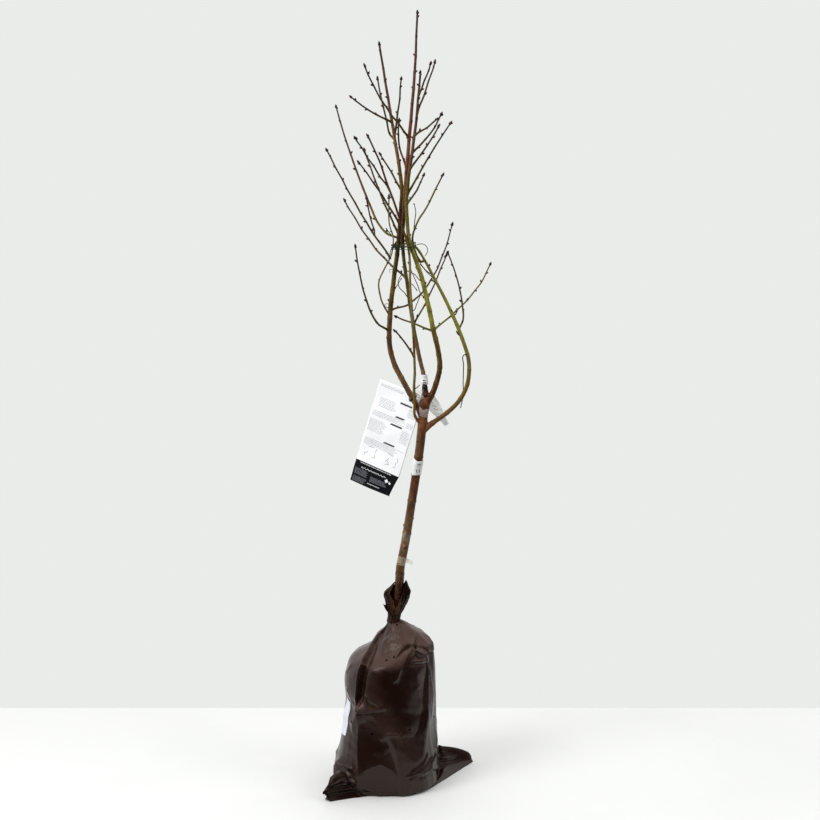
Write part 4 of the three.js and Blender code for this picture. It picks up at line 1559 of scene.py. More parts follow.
@dataclass(frozen=True)
class Crease:
    """A fold pressed into the film along places given as (degrees round the bag, height)."""

    through: tuple[tuple[float, float], ...]
    lift: float
    left: float = 7.0               # how far it fades on its left, seen from outside
    right: float = 7.0
    groove: float = 0.0             # depth of the furrow on its right
    furrow: float = 6.0             # how far off that furrow lies
    fade: float = 1.0               # how gently its far side comes up again
    narrow: float = 1.0             # share of the furrow that is left at the fold's last place
    ends: tuple[float, float] = (0.2, 0.2)

    def press(self, relief: Array, turns: Array, arcs: Array, reach: Array,
              arc_at: Callable[[float], float]) -> None:
        """Adds the fold to a relief of heights.

        Args:
            relief: rows by columns of heights, changed in place.
            turns: each column's direction, in degrees.
            arcs: each row's distance up the film.
            reach: rows by columns of distances from the middle.
            arc_at: distance up the film at a height.
        """
        start = self.through[0][0]
        places = np.array([(turn_from(start, turn), arc_at(height))
                           for turn, height in self.through])
        wide = 4.5 * max(self.left, self.right) + 2 * self.furrow * self.fade * bool(self.groove)
        off = turn_from(start, turns)
        first, last = places.min(0), places.max(0)
        rows = np.flatnonzero((arcs > first[1] - wide) & (arcs < last[1] + wide))
        near = wide / max(float(reach[rows].mean()) if len(rows) else 80.0, 12.0) * RADIAN
        columns = np.flatnonzero((off > first[0] - near) & (off < last[0] + near))
        if not len(rows) or not len(columns):
            return
        window = np.ix_(rows, columns)
        radius = reach[window] * math.pi / 180
        best, side, share = self.beside(places, off[columns][None, :], arcs[rows][:, None], radius)
        relief[window] += self.height_at(best, side, share)

    @staticmethod
    def beside(places: Array, off: Array, arcs: Array, radius: Array) -> tuple[Array, Array, Array]:
        """Where points of the film lie beside the fold.

        Args:
            places: turn and distance up the film of each place of the fold.
            off: each column's turn from the fold's first place.
            arcs: each row's distance up the film.
            radius: rows by columns of millimetres to the degree.

        Returns:
            Distance off, side (above 0 on the left) and share of the fold's length gone by.
        """
        lengths = np.r_[0, np.cumsum(np.hypot(np.diff(places[:, 0]) * radius.mean(),
                                              np.diff(places[:, 1])))]
        best = np.full(radius.shape, 1e9)
        side, share = np.zeros_like(best), np.zeros_like(best)
        for k, (a, b) in enumerate(zip(places[:-1], places[1:])):
            u, v = (off - a[0]) * radius, arcs - a[1]
            bu, bv = (b[0] - a[0]) * radius, b[1] - a[1]
            t = np.clip((u * bu + v * bv) / (bu * bu + bv * bv + 1e-9), 0, 1)
            apart = np.hypot(u - t * bu, v - t * bv)
            closer = apart < best
            best = np.where(closer, apart, best)
            side = np.where(closer, bu * v - bv * u, side)
            gone = (lengths[k] + t * (lengths[k + 1] - lengths[k])) / lengths[-1]
            share = np.where(closer, gone, share)
        return best, side, share

    def height_at(self, best: Array, side: Array, share: Array) -> Array:
        """Height of the fold at points that lie beside it.

        Args:
            best: how far off they lie.
            side: above 0 on the fold's left.
            share: share of the fold's length gone by.

        Returns:
            One height for each point.
        """
        height = self.lift * np.exp(-best / np.where(side > 0, self.left, self.right))
        if self.groove:
            left_over = 1 - (1 - self.narrow) * ease(0.3, 0.85, share)
            furrow = self.furrow * left_over
            width = np.where(best > furrow, furrow * self.fade, furrow)
            depth = self.groove * left_over * (side < 0)
            height -= depth * np.exp(-((best - furrow) / width) ** 2)
        if self.ends[0]:
            height *= ease(0, self.ends[0], share)
        if self.ends[1]:
            height *= 1 - ease(1 - self.ends[1], 1, share)
        return height


FOLDS = (
    Crease(((230, 176), (230, 203), (229, 223), (228, 235), (227, 249), (226, 263), (217, 274),
            (208, 282), (194, 292), (182, 310), (196, 331)), 7.5, 26, 1.6, 9.0, 4.2, 2.4,
           0.3, (0.1, 0.0)),
    Crease(((247, 6), (242, 30), (238, 70), (234, 106), (232, 143), (230, 180), (229, 223)),
           8.0, 30, 20),
    Crease(((230, 171), (253, 176), (268, 181)), 5.5, 11, 1.8, 1.5, 3.0, ends=(0.0, 0.25)),
    Crease(((268, 181), (245, 197), (232, 208)), 2.5, 3, 9),
    Crease(((272, 228), (281, 240), (284, 271), (281, 298)), 3.6, 20, 7),
    Crease(((242, 262), (249, 252), (272, 230)), 1.6, 14, 9),
    Crease(((233, 284), (245, 302), (268, 304)), 2.0, 5, 9),
    Crease(((337, 331), (321, 319), (314, 312), (299, 304), (289, 293), (281, 282)), 4.2, 6, 5,
           ends=(0.0, 0.25)),
    Crease(((293, 268), (296, 290), (315, 278), (345, 278), (359, 274)), 5.0, 13, 3.0, 4.0, 6.0),
    Crease(((292, 272), (314, 266), (338, 261)), 2.4, 8, 2.5, 1.5, 4.0),
    Crease(((206, 258), (193, 229)), 2.2, 5, 5),
    Crease(((203, 206), (219, 188), (226, 177)), 2.4, 5, 5),
    Crease(((203, 58), (218, 57), (237, 54)), 6.0, 6, 7, 3.0, 6.0),
    Crease(((194, 54), (208, 36), (227, 9)), 4.0, 5, 3, 2.5, 5.0),
    Crease(((190, 42), (201, 22), (208, 8)), 3.0, 4, 3),
    Crease(((205, 62), (222, 40), (240, 9)), 5.6, 4, 5, 2.5, 6.0),
    Crease(((215, 42), (238, 28), (242, 12)), 4.0, 8, 6, 3.0, 5.0),
    Crease(((221, 18), (231, 16), (246, 15), (258, 9)), 4.0, 5, 2.5, 3.0, 4.0, ends=(0.0, 0.3)),
    Crease(((222, 30), (232, 31), (244, 27)), 3.5, 5, 2.5, 2.5, 4.0, ends=(0.0, 0.3)),
    Crease(((215, 42), (226, 46), (240, 12)), 2.6, 4, 8),
    Crease(((259, 117), (267, 128), (274, 130), (282, 127)), 2.2, 2.2, 3.5),
    Crease(((290, 41), (304, 46), (318, 54), (335, 69)), 6.0, 2.4, 2.2, 2.0, 4.0),
    Crease(((303, 44), (326, 52), (346, 72)), 5.6, 2.4, 2.2, 2.0, 4.0),
    Crease(((296, 47), (312, 62), (322, 84)), 4.6, 2.2, 2.4),
    Crease(((300, 42), (329, 40), (352, 28), (10, 14)), 3.0, 5, 3, 2.0, 5.0),
    Crease(((22, 45), (16, 30), (14, 18)), 2.2, 6, 6),
    Crease(((4, 42), (13, 36), (24, 30)), 3.0, 5, 2.5, 3.0, 4.0),
    Crease(((6, 18), (17, 25), (26, 19)), 3.0, 3, 2.5, 2.0, 4.0),
    Crease(((15, 38), (19, 34), (22, 20)), 3.0, 4, 2.5, 2.5, 4.0),
    Crease(((241, 47), (252, 64), (263, 72), (276, 58), (287, 34)), 2.6, 5, 26),
    Crease(((309, 262), (311, 217), (316, 160)), 2.2, 16, 9),
    Crease(((334, 255), (337, 193), (330, 130)), 2.6, 12, 14),
    Crease(((352, 112), (345, 90), (338, 72)), 2.6, 8, 5),
    Crease(((20, 300), (28, 240), (18, 150), (30, 60)), 4.0, 22, 20),
    Crease(((75, 322), (62, 270), (72, 200)), 4.5, 14, 5, 3.0, 7.0, ends=(0.0, 0.3)),
    Crease(((72, 205), (95, 188), (128, 196)), 3.6, 12, 4, 2.0, 5.0),
    Crease(((118, 318), (126, 262), (112, 214)), 3.6, 12, 9, ends=(0.0, 0.3)),
    Crease(((152, 300), (150, 230), (160, 150), (148, 70)), 4.2, 22, 20),
    Crease(((60, 40), (84, 66), (112, 44)), 3.0, 5, 18),
    Crease(((160, 30), (172, 58), (196, 66)), 3.2, 7, 9),
    Crease(((96, 150), (104, 96), (90, 50)), 2.6, 12, 10),
)
PANELS = (      # degrees round the bag, height, tilt sideways and up, depth
    (262, 288, -0.30, 0.00, 4.0), (293, 302, 0.26, 0.06, 2.0), (268, 218, 0.00, 0.04, 3.5),
    (262, 112, 0.00, 0.08, 3.5), (300, 186, 0.04, 0.05, 3.0), (212, 118, -0.04, 0.02, 3.0),
    (216, 236, -0.10, 0.08, 1.6), (331, 214, 0.05, 0.03, 1.2), (296, 92, 0.02, 0.10, 3.0),
    (250, 50, 0.00, 0.03, 1.5))
PERFORATIONS = (
    (222, 146), (249, 129), (295, 136), (252, 279), (261, 283), (258, 299), (275, 330), (340, 143),
    (25, 140), (70, 146), (112, 138), (158, 143), (20, 285), (66, 280), (110, 290), (150, 282))


@dataclass
class RootBall:
    """The root ball's bag: one crinkled skin with its spread corners, its label and its holes."""

    trees: Trees
    columns: int = 480
    rows: int = 190
    seed: int = 11
    ears: tuple[Ear, ...] = (
        Ear(226, (78, 163), (33, 31), (54, 9), 0.8, 0.75, 25,
            outline=((0, 0.3, 0.7, 1, 3), (1, 0.68, 0.42, 0.2, -2))),
        Ear(28.5, (57, 203), (50, 19), (92, 9), 2.6, 1.0, 0,
            outline=((0, 0.22, 0.7, 1, 3), (1, 0.5, 0.24, 0.06, -2))))
    web: float = 9.0                # how softly the corners run into the bag
    pleats: int = 15
    small_folds: int = 55
    panel: float = 46.0             # rough width of the film's flat panels
    fine_below: float = 66.0        # the rows lie twice as close below this height
    girth: float = 95.0             # rough distance from the bag's middle to its film
    neck: float = 334.0             # height of the tied neck
    tries: int = 4000               # how often a place for a further panel is looked for
    swells: tuple[tuple[float, float], ...] = ((0.7, 85.0), (0.15, 24.0))   # height, width
    label_corners: tuple[tuple[float, float], ...] = (
        (182, 103), (211, 111), (214, 179), (201, 184))
    label_wall: float = 0.4
    hole: float = 5.0

    def __post_init__(self) -> None:
        """Works out the skin."""
        self.random = np.random.default_rng(self.seed)
        rings = self.frame_rings()
        picked = self.pick_rows(rings)
        self.pick_columns(picked[0])
        self.reach = self.spread_out(picked, rings[0][1])
        self.skin = self.placed(self.reach)
        self.skin = self.skin + grid_normals(self.skin, True) * self.relief()[..., None]
        self.skin[..., 2] = np.maximum(self.skin[..., 2], 0.15)

    def pick_rows(self, rings: list[tuple[float, float, tuple[float, Array]]]) -> Array:
        """Sets the height, middle and distance up the film of each row.

        Args:
            rings: the frame's rings, from the floor up.

        Returns:
            Each row's reach at every half degree.
        """
        table = np.array([[ring[2][0], 0, ring[0], ring[1], *ring[2][1]] for ring in rings])
        fine = curve_through(table, 0.5)
        arcs = run_along(fine[:, :3])
        closeness = np.where(fine[1:, 2] < self.fine_below, 2.0, 1.0)
        weight = np.r_[0, np.cumsum(np.diff(arcs) * closeness)]
        at = np.interp(np.linspace(0, weight[-1], self.rows), weight, np.arange(len(fine)))
        pick = np.stack([np.interp(at, np.arange(len(fine)), column) for column in fine.T], axis=1)
        self.heights = np.maximum(pick[:, 2], 0.3)
        self.middles = pick[:, 3]
        self.arcs = np.interp(at, np.arange(len(fine)), arcs)
        return pick[:, 4:]

    def pick_columns(self, at_foot: Array) -> None:
        """Sets the columns' turns, evenly round the bag's foot with its corners.

        Args:
            at_foot: reach of the lowest row at every half degree.
        """
        turns = np.arange(720) / 2
        for ear in self.ears:
            reach = ear.distances(turns, np.array([2.0]), np.zeros(1))[0]
            at_foot = np.maximum(at_foot, reach)
        rim = np.stack([np.cos(np.radians(turns)), np.sin(np.radians(turns))], 1) * at_foot[:, None]
        run = np.linalg.norm(np.diff(np.vstack([rim, rim[:1]]), axis=0), axis=1)
        run = np.r_[0, np.cumsum(run + 0.35 * run.mean())]
        self.turns = np.interp(np.linspace(0, run[-1], self.columns, endpoint=False), run,
                               np.r_[turns, 360])

    def spread_out(self, picked: Array, foot: float) -> Array:
        """Works out how far the film is from the middle, corners and all.

        Args:
            picked: each row's reach at every half degree.
            foot: middle of the lowest row.

        Returns:
            Rows by columns of distances.
        """
        turns = np.r_[np.arange(720) / 2, 360]
        reach = np.stack([np.interp(self.turns, turns, np.r_[row, row[0]]) for row in picked])
        for ear in self.ears:
            spread = ear.distances(self.turns, self.heights, self.middles - foot)
            share = np.clip(0.5 + 0.5 * (spread - reach) / self.web, 0, 1)
            reach = reach * (1 - share) + spread * share + self.web * share * (1 - share)
        for _ in range(3):
            reach = (np.roll(reach, 1, 1) + 2 * reach + np.roll(reach, -1, 1)) / 4
            reach[1:-1] = (reach[:-2] + 2 * reach[1:-1] + reach[2:]) / 4
        return reach

    def frame_rings(self) -> list[tuple[float, float, tuple[float, Array]]]:
        """Height, middle, and mean and whole reach of the frame bag's rings, from the floor up.

        Returns:
            One entry for each ring, with its whole reach at every half degree.
        """
        mesh = frame["nodes"]["root_ball_bag"].data
        spots = np.unique(points_of(mesh).round(1), axis=0)
        found = []
        for height in np.unique(spots[:, 2]):
            ring = spots[spots[:, 2] == height]
            if len(ring) < 30:
                continue
            middle = (ring[:, 0].min() + ring[:, 0].max()) / 2
            turn = np.degrees(np.arctan2(ring[:, 1], ring[:, 0] - middle)) % 360
            far = np.hypot(ring[:, 0] - middle, ring[:, 1])
            order = np.argsort(turn)
            turn, far = turn[order], far[order]
            keep = far > 0.5 * np.median(far)
            turn, far = turn[keep], far[keep]
            whole = np.interp(np.arange(720) / 2, np.r_[turn - 360, turn, turn + 360],
                              np.r_[far, far, far])
            kernel = np.exp(-np.linspace(-2, 2, 25) ** 2)
            padded = np.r_[whole[-12:], whole, whole[:12]]
            whole = np.convolve(padded, kernel / kernel.sum(), "valid")
            found.append((float(height), float(middle), (float(whole.mean()), whole)))
        return found

    def placed(self, reach: Array) -> Array:
        """Points of the skin at given distances from its middle.

        Args:
            reach: rows by columns of distances.

        Returns:
            Rows by columns of points.
        """
        angles = np.radians(self.turns)
        x = self.middles[:, None] + reach * np.cos(angles)
        y = reach * np.sin(angles)
        return np.stack([x, y, np.broadcast_to(self.heights[:, None], x.shape)], axis=-1)

    def arc_at(self, height: float) -> float:
        """Distance up the film at a height."""
        return float(np.interp(height, self.heights, self.arcs))

    def relief(self) -> Array:
        """Heights of every fold over the skin.

        Returns:
            Rows by columns of heights.
        """
        relief = np.zeros_like(self.reach)
        for fold in (*FOLDS, *self.neck_pleats(), *self.little_folds()):
            fold.press(relief, self.turns, self.arcs, self.reach, self.arc_at)
        relief += self.facets()
        around = np.radians(self.turns)[None, :] * self.girth
        up = self.arcs[:, None]
        seam = ease(0, 25, self.turns) * (1 - ease(335, 360, self.turns))
        for height, wide in self.swells:
            relief += height * waves(int(self.random.integers(999)), around, up, wide) * seam
        relief *= 1 - 0.88 * ease(self.arc_at(300), self.arc_at(331), self.arcs)[:, None]
        return relief * (0.25 + 0.75 * ease(0, 9, self.heights))[:, None]

    def facets(self) -> Array:
        """Near-flat panels with crisp edges, as taut film shows over a round load.

        Returns:
            Rows by columns of heights.
        """
        normals = grid_normals(self.skin, True)
        seeds = []
        spread = np.array([self.girth / RADIAN, 1.0])
        for _ in range(self.tries):
            turn, arc = self.random.uniform(0, 360), self.random.uniform(15, self.arcs[-1] - 12)
            gap = self.random.uniform(0.75, 1.25) * self.panel
            off = [(turn_from(t, turn), arc - a) for t, a in seeds]
            if all(np.hypot(*(np.array(o) * spread)) > gap for o in off):
                seeds.append((turn, arc))
        best = np.full(self.reach.shape, 6.0)
        flats = [(turn, arc, self.random.normal(0, 0.05, 3), 0.0) for turn, arc in seeds]
        flats += [(turn, self.arc_at(height), np.array([aside, 0.0, up]), depth)
                  for turn, height, aside, up, depth in PANELS]
        for turn, arc, lean, depth in flats:
            column = int(np.argmin(np.abs(turn_from(turn, self.turns))))
            row = int(np.argmin(np.abs(self.arcs - arc)))
            tilt = unit(normals[row, column] + lean)
            drop = (self.skin[row, column] - self.skin) @ tilt - depth
            facing = normals @ tilt
            here = np.where(facing > 0.55, drop / np.maximum(facing, 0.3), 9.0)
            best = np.minimum(best, here)
        for _ in range(2):
            best[1:-1] = (best[:-2] + 4 * best[1:-1] + best[2:]) / 6
        to_the_right = np.cos(np.radians(self.turns - self.ears[1].angle)) > 0
        loose = ease(114, 134, self.reach) * to_the_right
        return (np.clip(best, -6.0, 5.0) - 0.8) * (1 - loose)

    def neck_pleats(self) -> list[Crease]:
        """Pleats that run down from the tied neck.

        Returns:
            The pleats.
        """
        pleats = []
        for turn in np.linspace(0, 360, self.pleats, endpoint=False):
            turn += self.random.uniform(-5, 5)
            low = self.neck - self.random.uniform(14, 48)
            aside = self.random.uniform(-7, 7)
            wide = self.random.uniform(3.0, 6.5)
            through = ((turn + aside, low), (turn + aside / 2, (low + self.neck) / 2),
                       (turn, self.neck + 1))
            pleats.append(Crease(through, self.random.uniform(0.6, 1.9), wide, wide * 0.7,
                                 ends=(0.5, 0.0)))
        return pleats

    def little_folds(self) -> list[Crease]:
        """Small creases scattered over the film.

        Returns:
            The creases.
        """
        folds = []
        for _ in range(self.small_folds):
            turn, height = self.random.uniform(0, 360), self.random.uniform(8, 318)
            slope, long = self.random.uniform(0, 2 * math.pi), self.random.uniform(10, 42)
            step = np.array([math.cos(slope) * long / self.girth * RADIAN, math.sin(slope) * long])
            bend = self.random.uniform(-0.3, 0.3)
            middle = (turn + step[0] / 2 + bend * 8, height + step[1] / 2 - bend * 10)
            end = (turn + step[0], float(np.clip(height + step[1], 5, 325)))
            wide = self.random.uniform(1.8, 6.0)
            folds.append(Crease(((turn, height), middle, end),
                                self.random.choice((-0.7, 1.0)) * self.random.uniform(0.3, 1.1),
                                wide, wide * self.random.uniform(0.5, 1.0), ends=(0.35, 0.35)))
        return folds

    def spot(self, turn: float, height: float) -> tuple[Array, Array]:
        """Point and normal of the film at a direction and height.

        Args:
            turn: direction, in degrees.
            height: height over the floor.

        Returns:
            The point and its normal.
        """
        column = int(np.argmin(np.abs(turn_from(turn, self.turns))))
        row = int(np.argmin(np.abs(self.heights - height)))
        rows = slice(max(row - 1, 0), row + 2)
        normals = grid_normals(self.skin[rows], True)
        return self.skin[row, column], normals[min(row, 1), column]

    def build(self, finish: bpy.types.Material) -> list[bpy.types.Object]:
        """Builds the bag, its label and its holes.

        Args:
            finish: the bag's film.

        Returns:
            The pieces.
        """
        skin = self.skin
        low, high = skin[0].mean(0), skin[-1].mean(0)
        bottom = np.stack([low + (skin[0] - low) * share for share in (0.3, 0.75)])
        top = np.stack([high + (skin[-1] - high) * share for share in (0.8, 0.4)])
        rings = np.concatenate([bottom, skin, top])
        rows, columns = rings.shape[:2]
        points = np.vstack([rings.reshape(-1, 3), low, high])
        faces = loft_faces(rows, columns)
        base, last = rows * columns, (rows - 1) * columns
        for column in range(columns):
            after = (column + 1) % columns
            faces.append((base, after, column))
            faces.append((base + 1, last + column, last + after))
        mesh = new_mesh("root_ball_film", points, faces)
        facing = grid_normals(rings, True)
        # dust and painted sheen: the film gets lighter where it faces up and higher up, with soft
        # patches; painted shade keeps it darker where it faces left
        up, leftward_shade = facing[..., 2], 0.45 * ease(0.15, 0.6, -facing[..., 0])
        around = np.radians(self.turns)[None, :] * self.girth
        patches = waves(self.seed, around, rings[..., 2], 90.0)
        dust_and_sheen = (0.9 * ease(0.05, 0.85, up) + 0.1 * patches) * ease(40, 150, rings[..., 2])
        dust_and_sheen *= 1 - leftward_shade
        values = np.r_[np.clip(dust_and_sheen, 0, 1).ravel(), 0, 0]
        set_values(mesh, "dust_and_sheen", values)
        bag = put(mesh, finish)
        nodes = ("root_ball_bag", "bag_corner_left", "bag_corner_right")
        return [declare(bag, "bag_film", nodes), self.holes(), *self.label()]

    def holes(self) -> bpy.types.Object:
        """The film's small round air holes.

        Returns:
            The piece.
        """
        prints = Prints(self.trees)
        for turn, height in PERFORATIONS:
            place, face = self.spot(turn, height)
            prints.add(place, face, face, (self.hole, self.hole, 0.5), "060405")
        return prints.build("bag_holes", "bag_film", True)

    def label(self) -> list[bpy.types.Object]:
        """A bare white label on the film.

        Returns:
            The label, as one piece.
        """
        low_left, low_right, high_right, high_left = map(np.array, self.label_corners)
        grid = np.zeros((34, 22, 3))
        for i, up in enumerate(np.linspace(0, 1, 34)):
            for j, across in enumerate(np.linspace(0, 1, 22)):
                turn, height = ((low_left * (1 - across) + low_right * across) * (1 - up)
                                + (high_left * (1 - across) + high_right * across) * up)
                grid[i, j] = self.between_points(turn, height)
        for _ in range(2):
            grid[1:-1] = (grid[:-2] + 2 * grid[1:-1] + grid[2:]) / 4
        grid += grid_normals(grid, False) * (self.label_wall / 2 + 0.5)
        finish = Coloured("label_paper", "c3c6d0", "b8bbc6", 0.5, 30.0).material()
        piece = put(thin_sheet("bag_sticker", grid, self.label_wall), finish)
        return [declare(piece, "paper", ("bag_label",))]

    def between_points(self, turn: float, height: float) -> Array:
        """Point of the film between its grid points.

        Args:
            turn: direction, in degrees.
            height: height over the floor.

        Returns:
            The point.
        """
        row = float(np.interp(height, self.heights, np.arange(self.rows)))
        column = float(np.interp(turn, self.turns, np.arange(self.columns)))
        r, c = min(int(row), self.rows - 2), min(int(column), self.columns - 2)
        a, b = row - r, column - c
        near = self.skin[r, c] * (1 - b) + self.skin[r, c + 1] * b
        far = self.skin[r + 1, c] * (1 - b) + self.skin[r + 1, c + 1] * b
        return near * (1 - a) + far * a


@dataclass
class Cuff:
    """The gathered mouth of the bag above its tie, open in a V towards the front."""

    wood: Wood
    columns: int = 144
    rows: int = 56
    wall: float = 0.7
    foot: float = 332.0
    sheen_spot: tuple[float, float, float] = (6.0, -12.0, 378.0)  # where a painted sheen lightens the film, from the trunk's middle
    rims: tuple[tuple[float, float], ...] = (
        (0, 410), (25, 416), (60, 408), (100, 414), (140, 404), (165, 412), (185, 413),
        (205, 409), (225, 400), (243, 388), (254, 374), (265, 363), (275, 364), (285, 382),
        (300, 400), (325, 411), (342, 415), (360, 410))
    girth: tuple[tuple[float, float, float, float], ...] = (
        # height, half width, half depth, middle to the right of the trunk's
        (332, 13.5, 13.5, 0.0), (339, 12.2, 12.0, 0.0), (348, 13.5, 12.6, 0.0),
        (360, 18.0, 14.2, 0.0), (374, 23.0, 15.6, -0.6), (388, 27.0, 16.2, -1.6),
        (394, 26.4, 15.4, -1.4), (405, 17.5, 13.4, 1.4), (416, 11.0, 11.4, 3.4))

    def build(self, finish: bpy.types.Material) -> list[bpy.types.Object]:
        """Builds the cuff and the small loose flap beside it.

        Args:
            finish: the cuff's film.

        Returns:
            The pieces.
        """
        turns = np.linspace(0, 360, self.columns, endpoint=False)
        rims = np.interp(turns, *zip(*self.rims))
        up = np.linspace(0, 1, self.rows)[:, None]
        heights = self.foot + (rims - self.foot) * up
        table = np.array(self.girth)
        wide, deep, aside = (np.interp(heights, table[:, 0], table[:, k]) for k in (1, 2, 3))
        angles = np.radians(turns)
        fold = 0.10 * np.sin(9 * angles + 1.2 * up * 3) + 0.07 * np.sin(17 * angles + 5 * up)
        fold += 0.05 * np.sin(31 * angles + 2.0)
        fold *= 0.45 + 0.75 * ease(0.0, 0.5, up)
        fold = -np.abs(fold) * 0.9 + 0.03
        middles = np.array([self.wood.lines["trunk"].at_height(h)[0]
                            for h in np.linspace(self.foot, 420, 45)])
        x0 = np.interp(heights, middles[:, 2], middles[:, 0])
        y0 = np.interp(heights, middles[:, 2], middles[:, 1])
        x = x0 + aside + wide * (1 + fold) * np.cos(angles)
        y = y0 + deep * (1 + fold) * np.sin(angles)
        grid = np.stack([x, y, heights], axis=-1)
        crinkle = waves(31, angles[None, :] * 18, heights, 11.0) * np.sin(angles / 2) ** 2
        grid += grid_normals(grid, True) * (0.5 * crinkle)[..., None]
        mesh = thin_sheet("bag_cuff", grid, self.wall, True)
        places = points_of(mesh)
        # painted sheen: the film lightened in a soft spot in front of the trunk
        sheen_spot = (x0[0, 0] + self.sheen_spot[0], y0[0, 0] + self.sheen_spot[1], self.sheen_spot[2])
        away = (places - sheen_spot) / (8, 14, 22)
        dust_and_sheen = 0.75 * np.exp(-(away**2).sum(1))
        set_values(mesh, "dust_and_sheen", dust_and_sheen)
        cuff = put(mesh, finish)
        return [declare(cuff, "bag_film", ("bag_collar",)), self.flap(finish)]

    def flap(self, finish: bpy.types.Material) -> bpy.types.Object:
        """A small pointed flap on the left, below the big one.

        Args:
            finish: the cuff's film.

        Returns:
            The piece.
        """
        across, up = np.meshgrid(np.linspace(0, 1, 16), np.linspace(0, 1, 20))
        foot, _, _ = self.wood.lines["trunk"].at_height(352)
        tip = foot + np.array([-25.5, -7.0, 19.0])
        inner = foot + np.array([-4.0, -12.5, -8.0])
        back = foot + np.array([-15.0, -4.0, 14.0])
        base = inner + (back - inner) * across[..., None]
        grid = base + (tip - base) * (up * 0.84)[..., None]
        grid[..., 0] -= 3.0 * np.sin(math.pi * up)
        grid[..., 1] -= 1.6 * np.sin(2 * math.pi * across) * (1 - up)
        return declare(put(thin_sheet("bag_flap", grid, 0.6), finish), "bag_film")


@dataclass(frozen=True)
class Sleeve:
    """A loose band of paper or film round a limb."""

    name: str
    node: str
    stem: str
    slot: str
    slack: tuple[float, float]      # room between limb and band, sideways and front to back
    colour: str
    other: str = ""
    lift: float = 0.0               # how much higher its top stands on the left
    slant: float = 0.0              # how much higher its whole left side sits
    clear: float = 1.0
    roughness: float = 0.5
    swell: float = 0.5
    wall: float = 0.35
    marks: tuple[tuple[float, float, float, float, str], ...] = ()  # turn, place, width, height

    def build(self, wood: Wood, prints: Prints) -> bpy.types.Object:
        """Builds the band and notes its marks.

        Args:
            wood: the limbs it goes round.
            prints: where its marks are noted.

        Returns:
            The piece.
        """
        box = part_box(self.node)
        low, high = box[0].z / MM, box[1].z / MM
        turns = np.linspace(0, 2 * math.pi, 72, endpoint=False)
        leftward = -np.cos(turns)
        grid = np.zeros((14, 72, 3))
        for row, up in enumerate(np.linspace(0, 1, 14)):
            z = low + (high - low) * up + (self.lift * up * np.maximum(leftward, 0) ** 1.5
                                           + self.slant * leftward)
            for column, turn in enumerate(turns):
                middle, radius, _ = wood.lines[self.stem].at_height(z[column])
                x = middle[0] + (radius + self.slack[0]) * math.cos(turn)
                y = middle[1] + (radius + self.slack[1]) * math.sin(turn)
                grid[row, column] = (x, y, z[column])
        ripple = np.sin(3 * turns + 0.8)[None, :] * np.linspace(0.5, 1.2, 14)[:, None]
        grid += grid_normals(grid, True) * (self.swell * ripple)[..., None]
        normals = grid_normals(grid, True)
        for turn, height, wide, tall, colour in self.marks:
            column = int(round(turn / 5)) % 72
            row = int(np.argmin(np.abs(grid[:, column, 2] - height)))
            face = normals[row, column]
            along = unit(np.cross([0.0, 0.0, 1.0], face))
            prints.add(grid[row, column] + face * (self.wall / 2 + 0.05), face, along,
                       (wide, tall, 0.2), colour)
        finish = Coloured(f"{self.name}_finish", self.colour, self.other, self.roughness, 40.0,
                          clear=self.clear).material()
        piece = put(thin_sheet(self.name, grid, self.wall, True), finish)
        return declare(piece, self.slot, (self.node,))


SLEEVES = (
    Sleeve("trunk_sleeve", "trunk_label", "trunk", "paper", (1.4, 1.4), "c6c9c4", "dedcdf",
           lift=7.0, marks=((272, 641, 1.6, 6.5, "3c3d39"), (300, 642, 1.8, 6.5, "4b4c48"),
                            (285, 654, 8.0, 2.0, "7d8a86"), (205, 636, 2.0, 3.6, "2c2e2c"))),
    Sleeve("fork_sleeve", "fork_label", "centre", "paper", (2.4, 1.8), "f1eff2", "e2dfe4",
           slant=0.8, marks=((262, 820.5, 4.0, 2.2, "4a4340"), (268, 815.5, 7.5, 2.0, "6d4a3c"))),
    Sleeve("tape_ring", "trunk_tape", "trunk", "clear_film", (0.5, 0.5), "cfc5b4", "b6a78e",
           slant=1.6, clear=0.34, roughness=0.15, swell=0.25,
           marks=((225, 453, 6.5, 1.2, "4b3421"),)),
)


@dataclass(frozen=True)
class TextBlock:
    """Rows of word-like bars on the leaflet, placed from its top left corner."""

    left: float
    right: float
    top: float
    bottom: float
    pitch: float = 2.9
    tall: float = 0.9
    word: tuple[float, float] = (3.0, 9.0)
    colour: str = "a5a8ad"


TEXT = (
    TextBlock(6, 64, 8, 11), TextBlock(12, 56, 34, 53), TextBlock(5, 84, 63, 73),
    TextBlock(86, 102, 63, 73), TextBlock(3, 46, 81, 107), TextBlock(81, 103, 81, 107),
    TextBlock(5, 102, 121, 133), TextBlock(82, 102, 36, 53),
    TextBlock(12, 88, 173, 174, 3, 1.5, (2.0, 6.0), "c6c9cc"),
    TextBlock(4, 38, 187, 200, 2.2, 0.9, (2.0, 5.0), "7b7f86"),
    TextBlock(45, 92, 193, 203, 2.2, 0.9, (2.0, 5.0), "7b7f86"),
    TextBlock(4, 38, 204, 213, 2.2, 0.9, (2.0, 5.0), "7b7f86"),
    TextBlock(42, 82, 208, 209, 3, 1.3, (4.0, 9.0), "c6c9cc"),
)
HEADERS = ((59, 87, 29.5), (53, 82, 59.0), (50, 79, 76.5), (46, 75, 117.0))
STROKES = (     # across, down, length, degrees, of the small line drawings
    (17, 150, 9, 35), (14, 154, 6, 100), (38, 140, 9, 85), (38, 150, 9, 95), (36, 155, 8, 10),
    (68, 147, 10, 60), (72, 152, 8, 130), (70, 156, 9, 15), (91, 140, 9, 100), (89, 149, 10, 95),
    (87, 156, 5, 20), (25, 136, 12, 5), (72, 135, 14, 175))


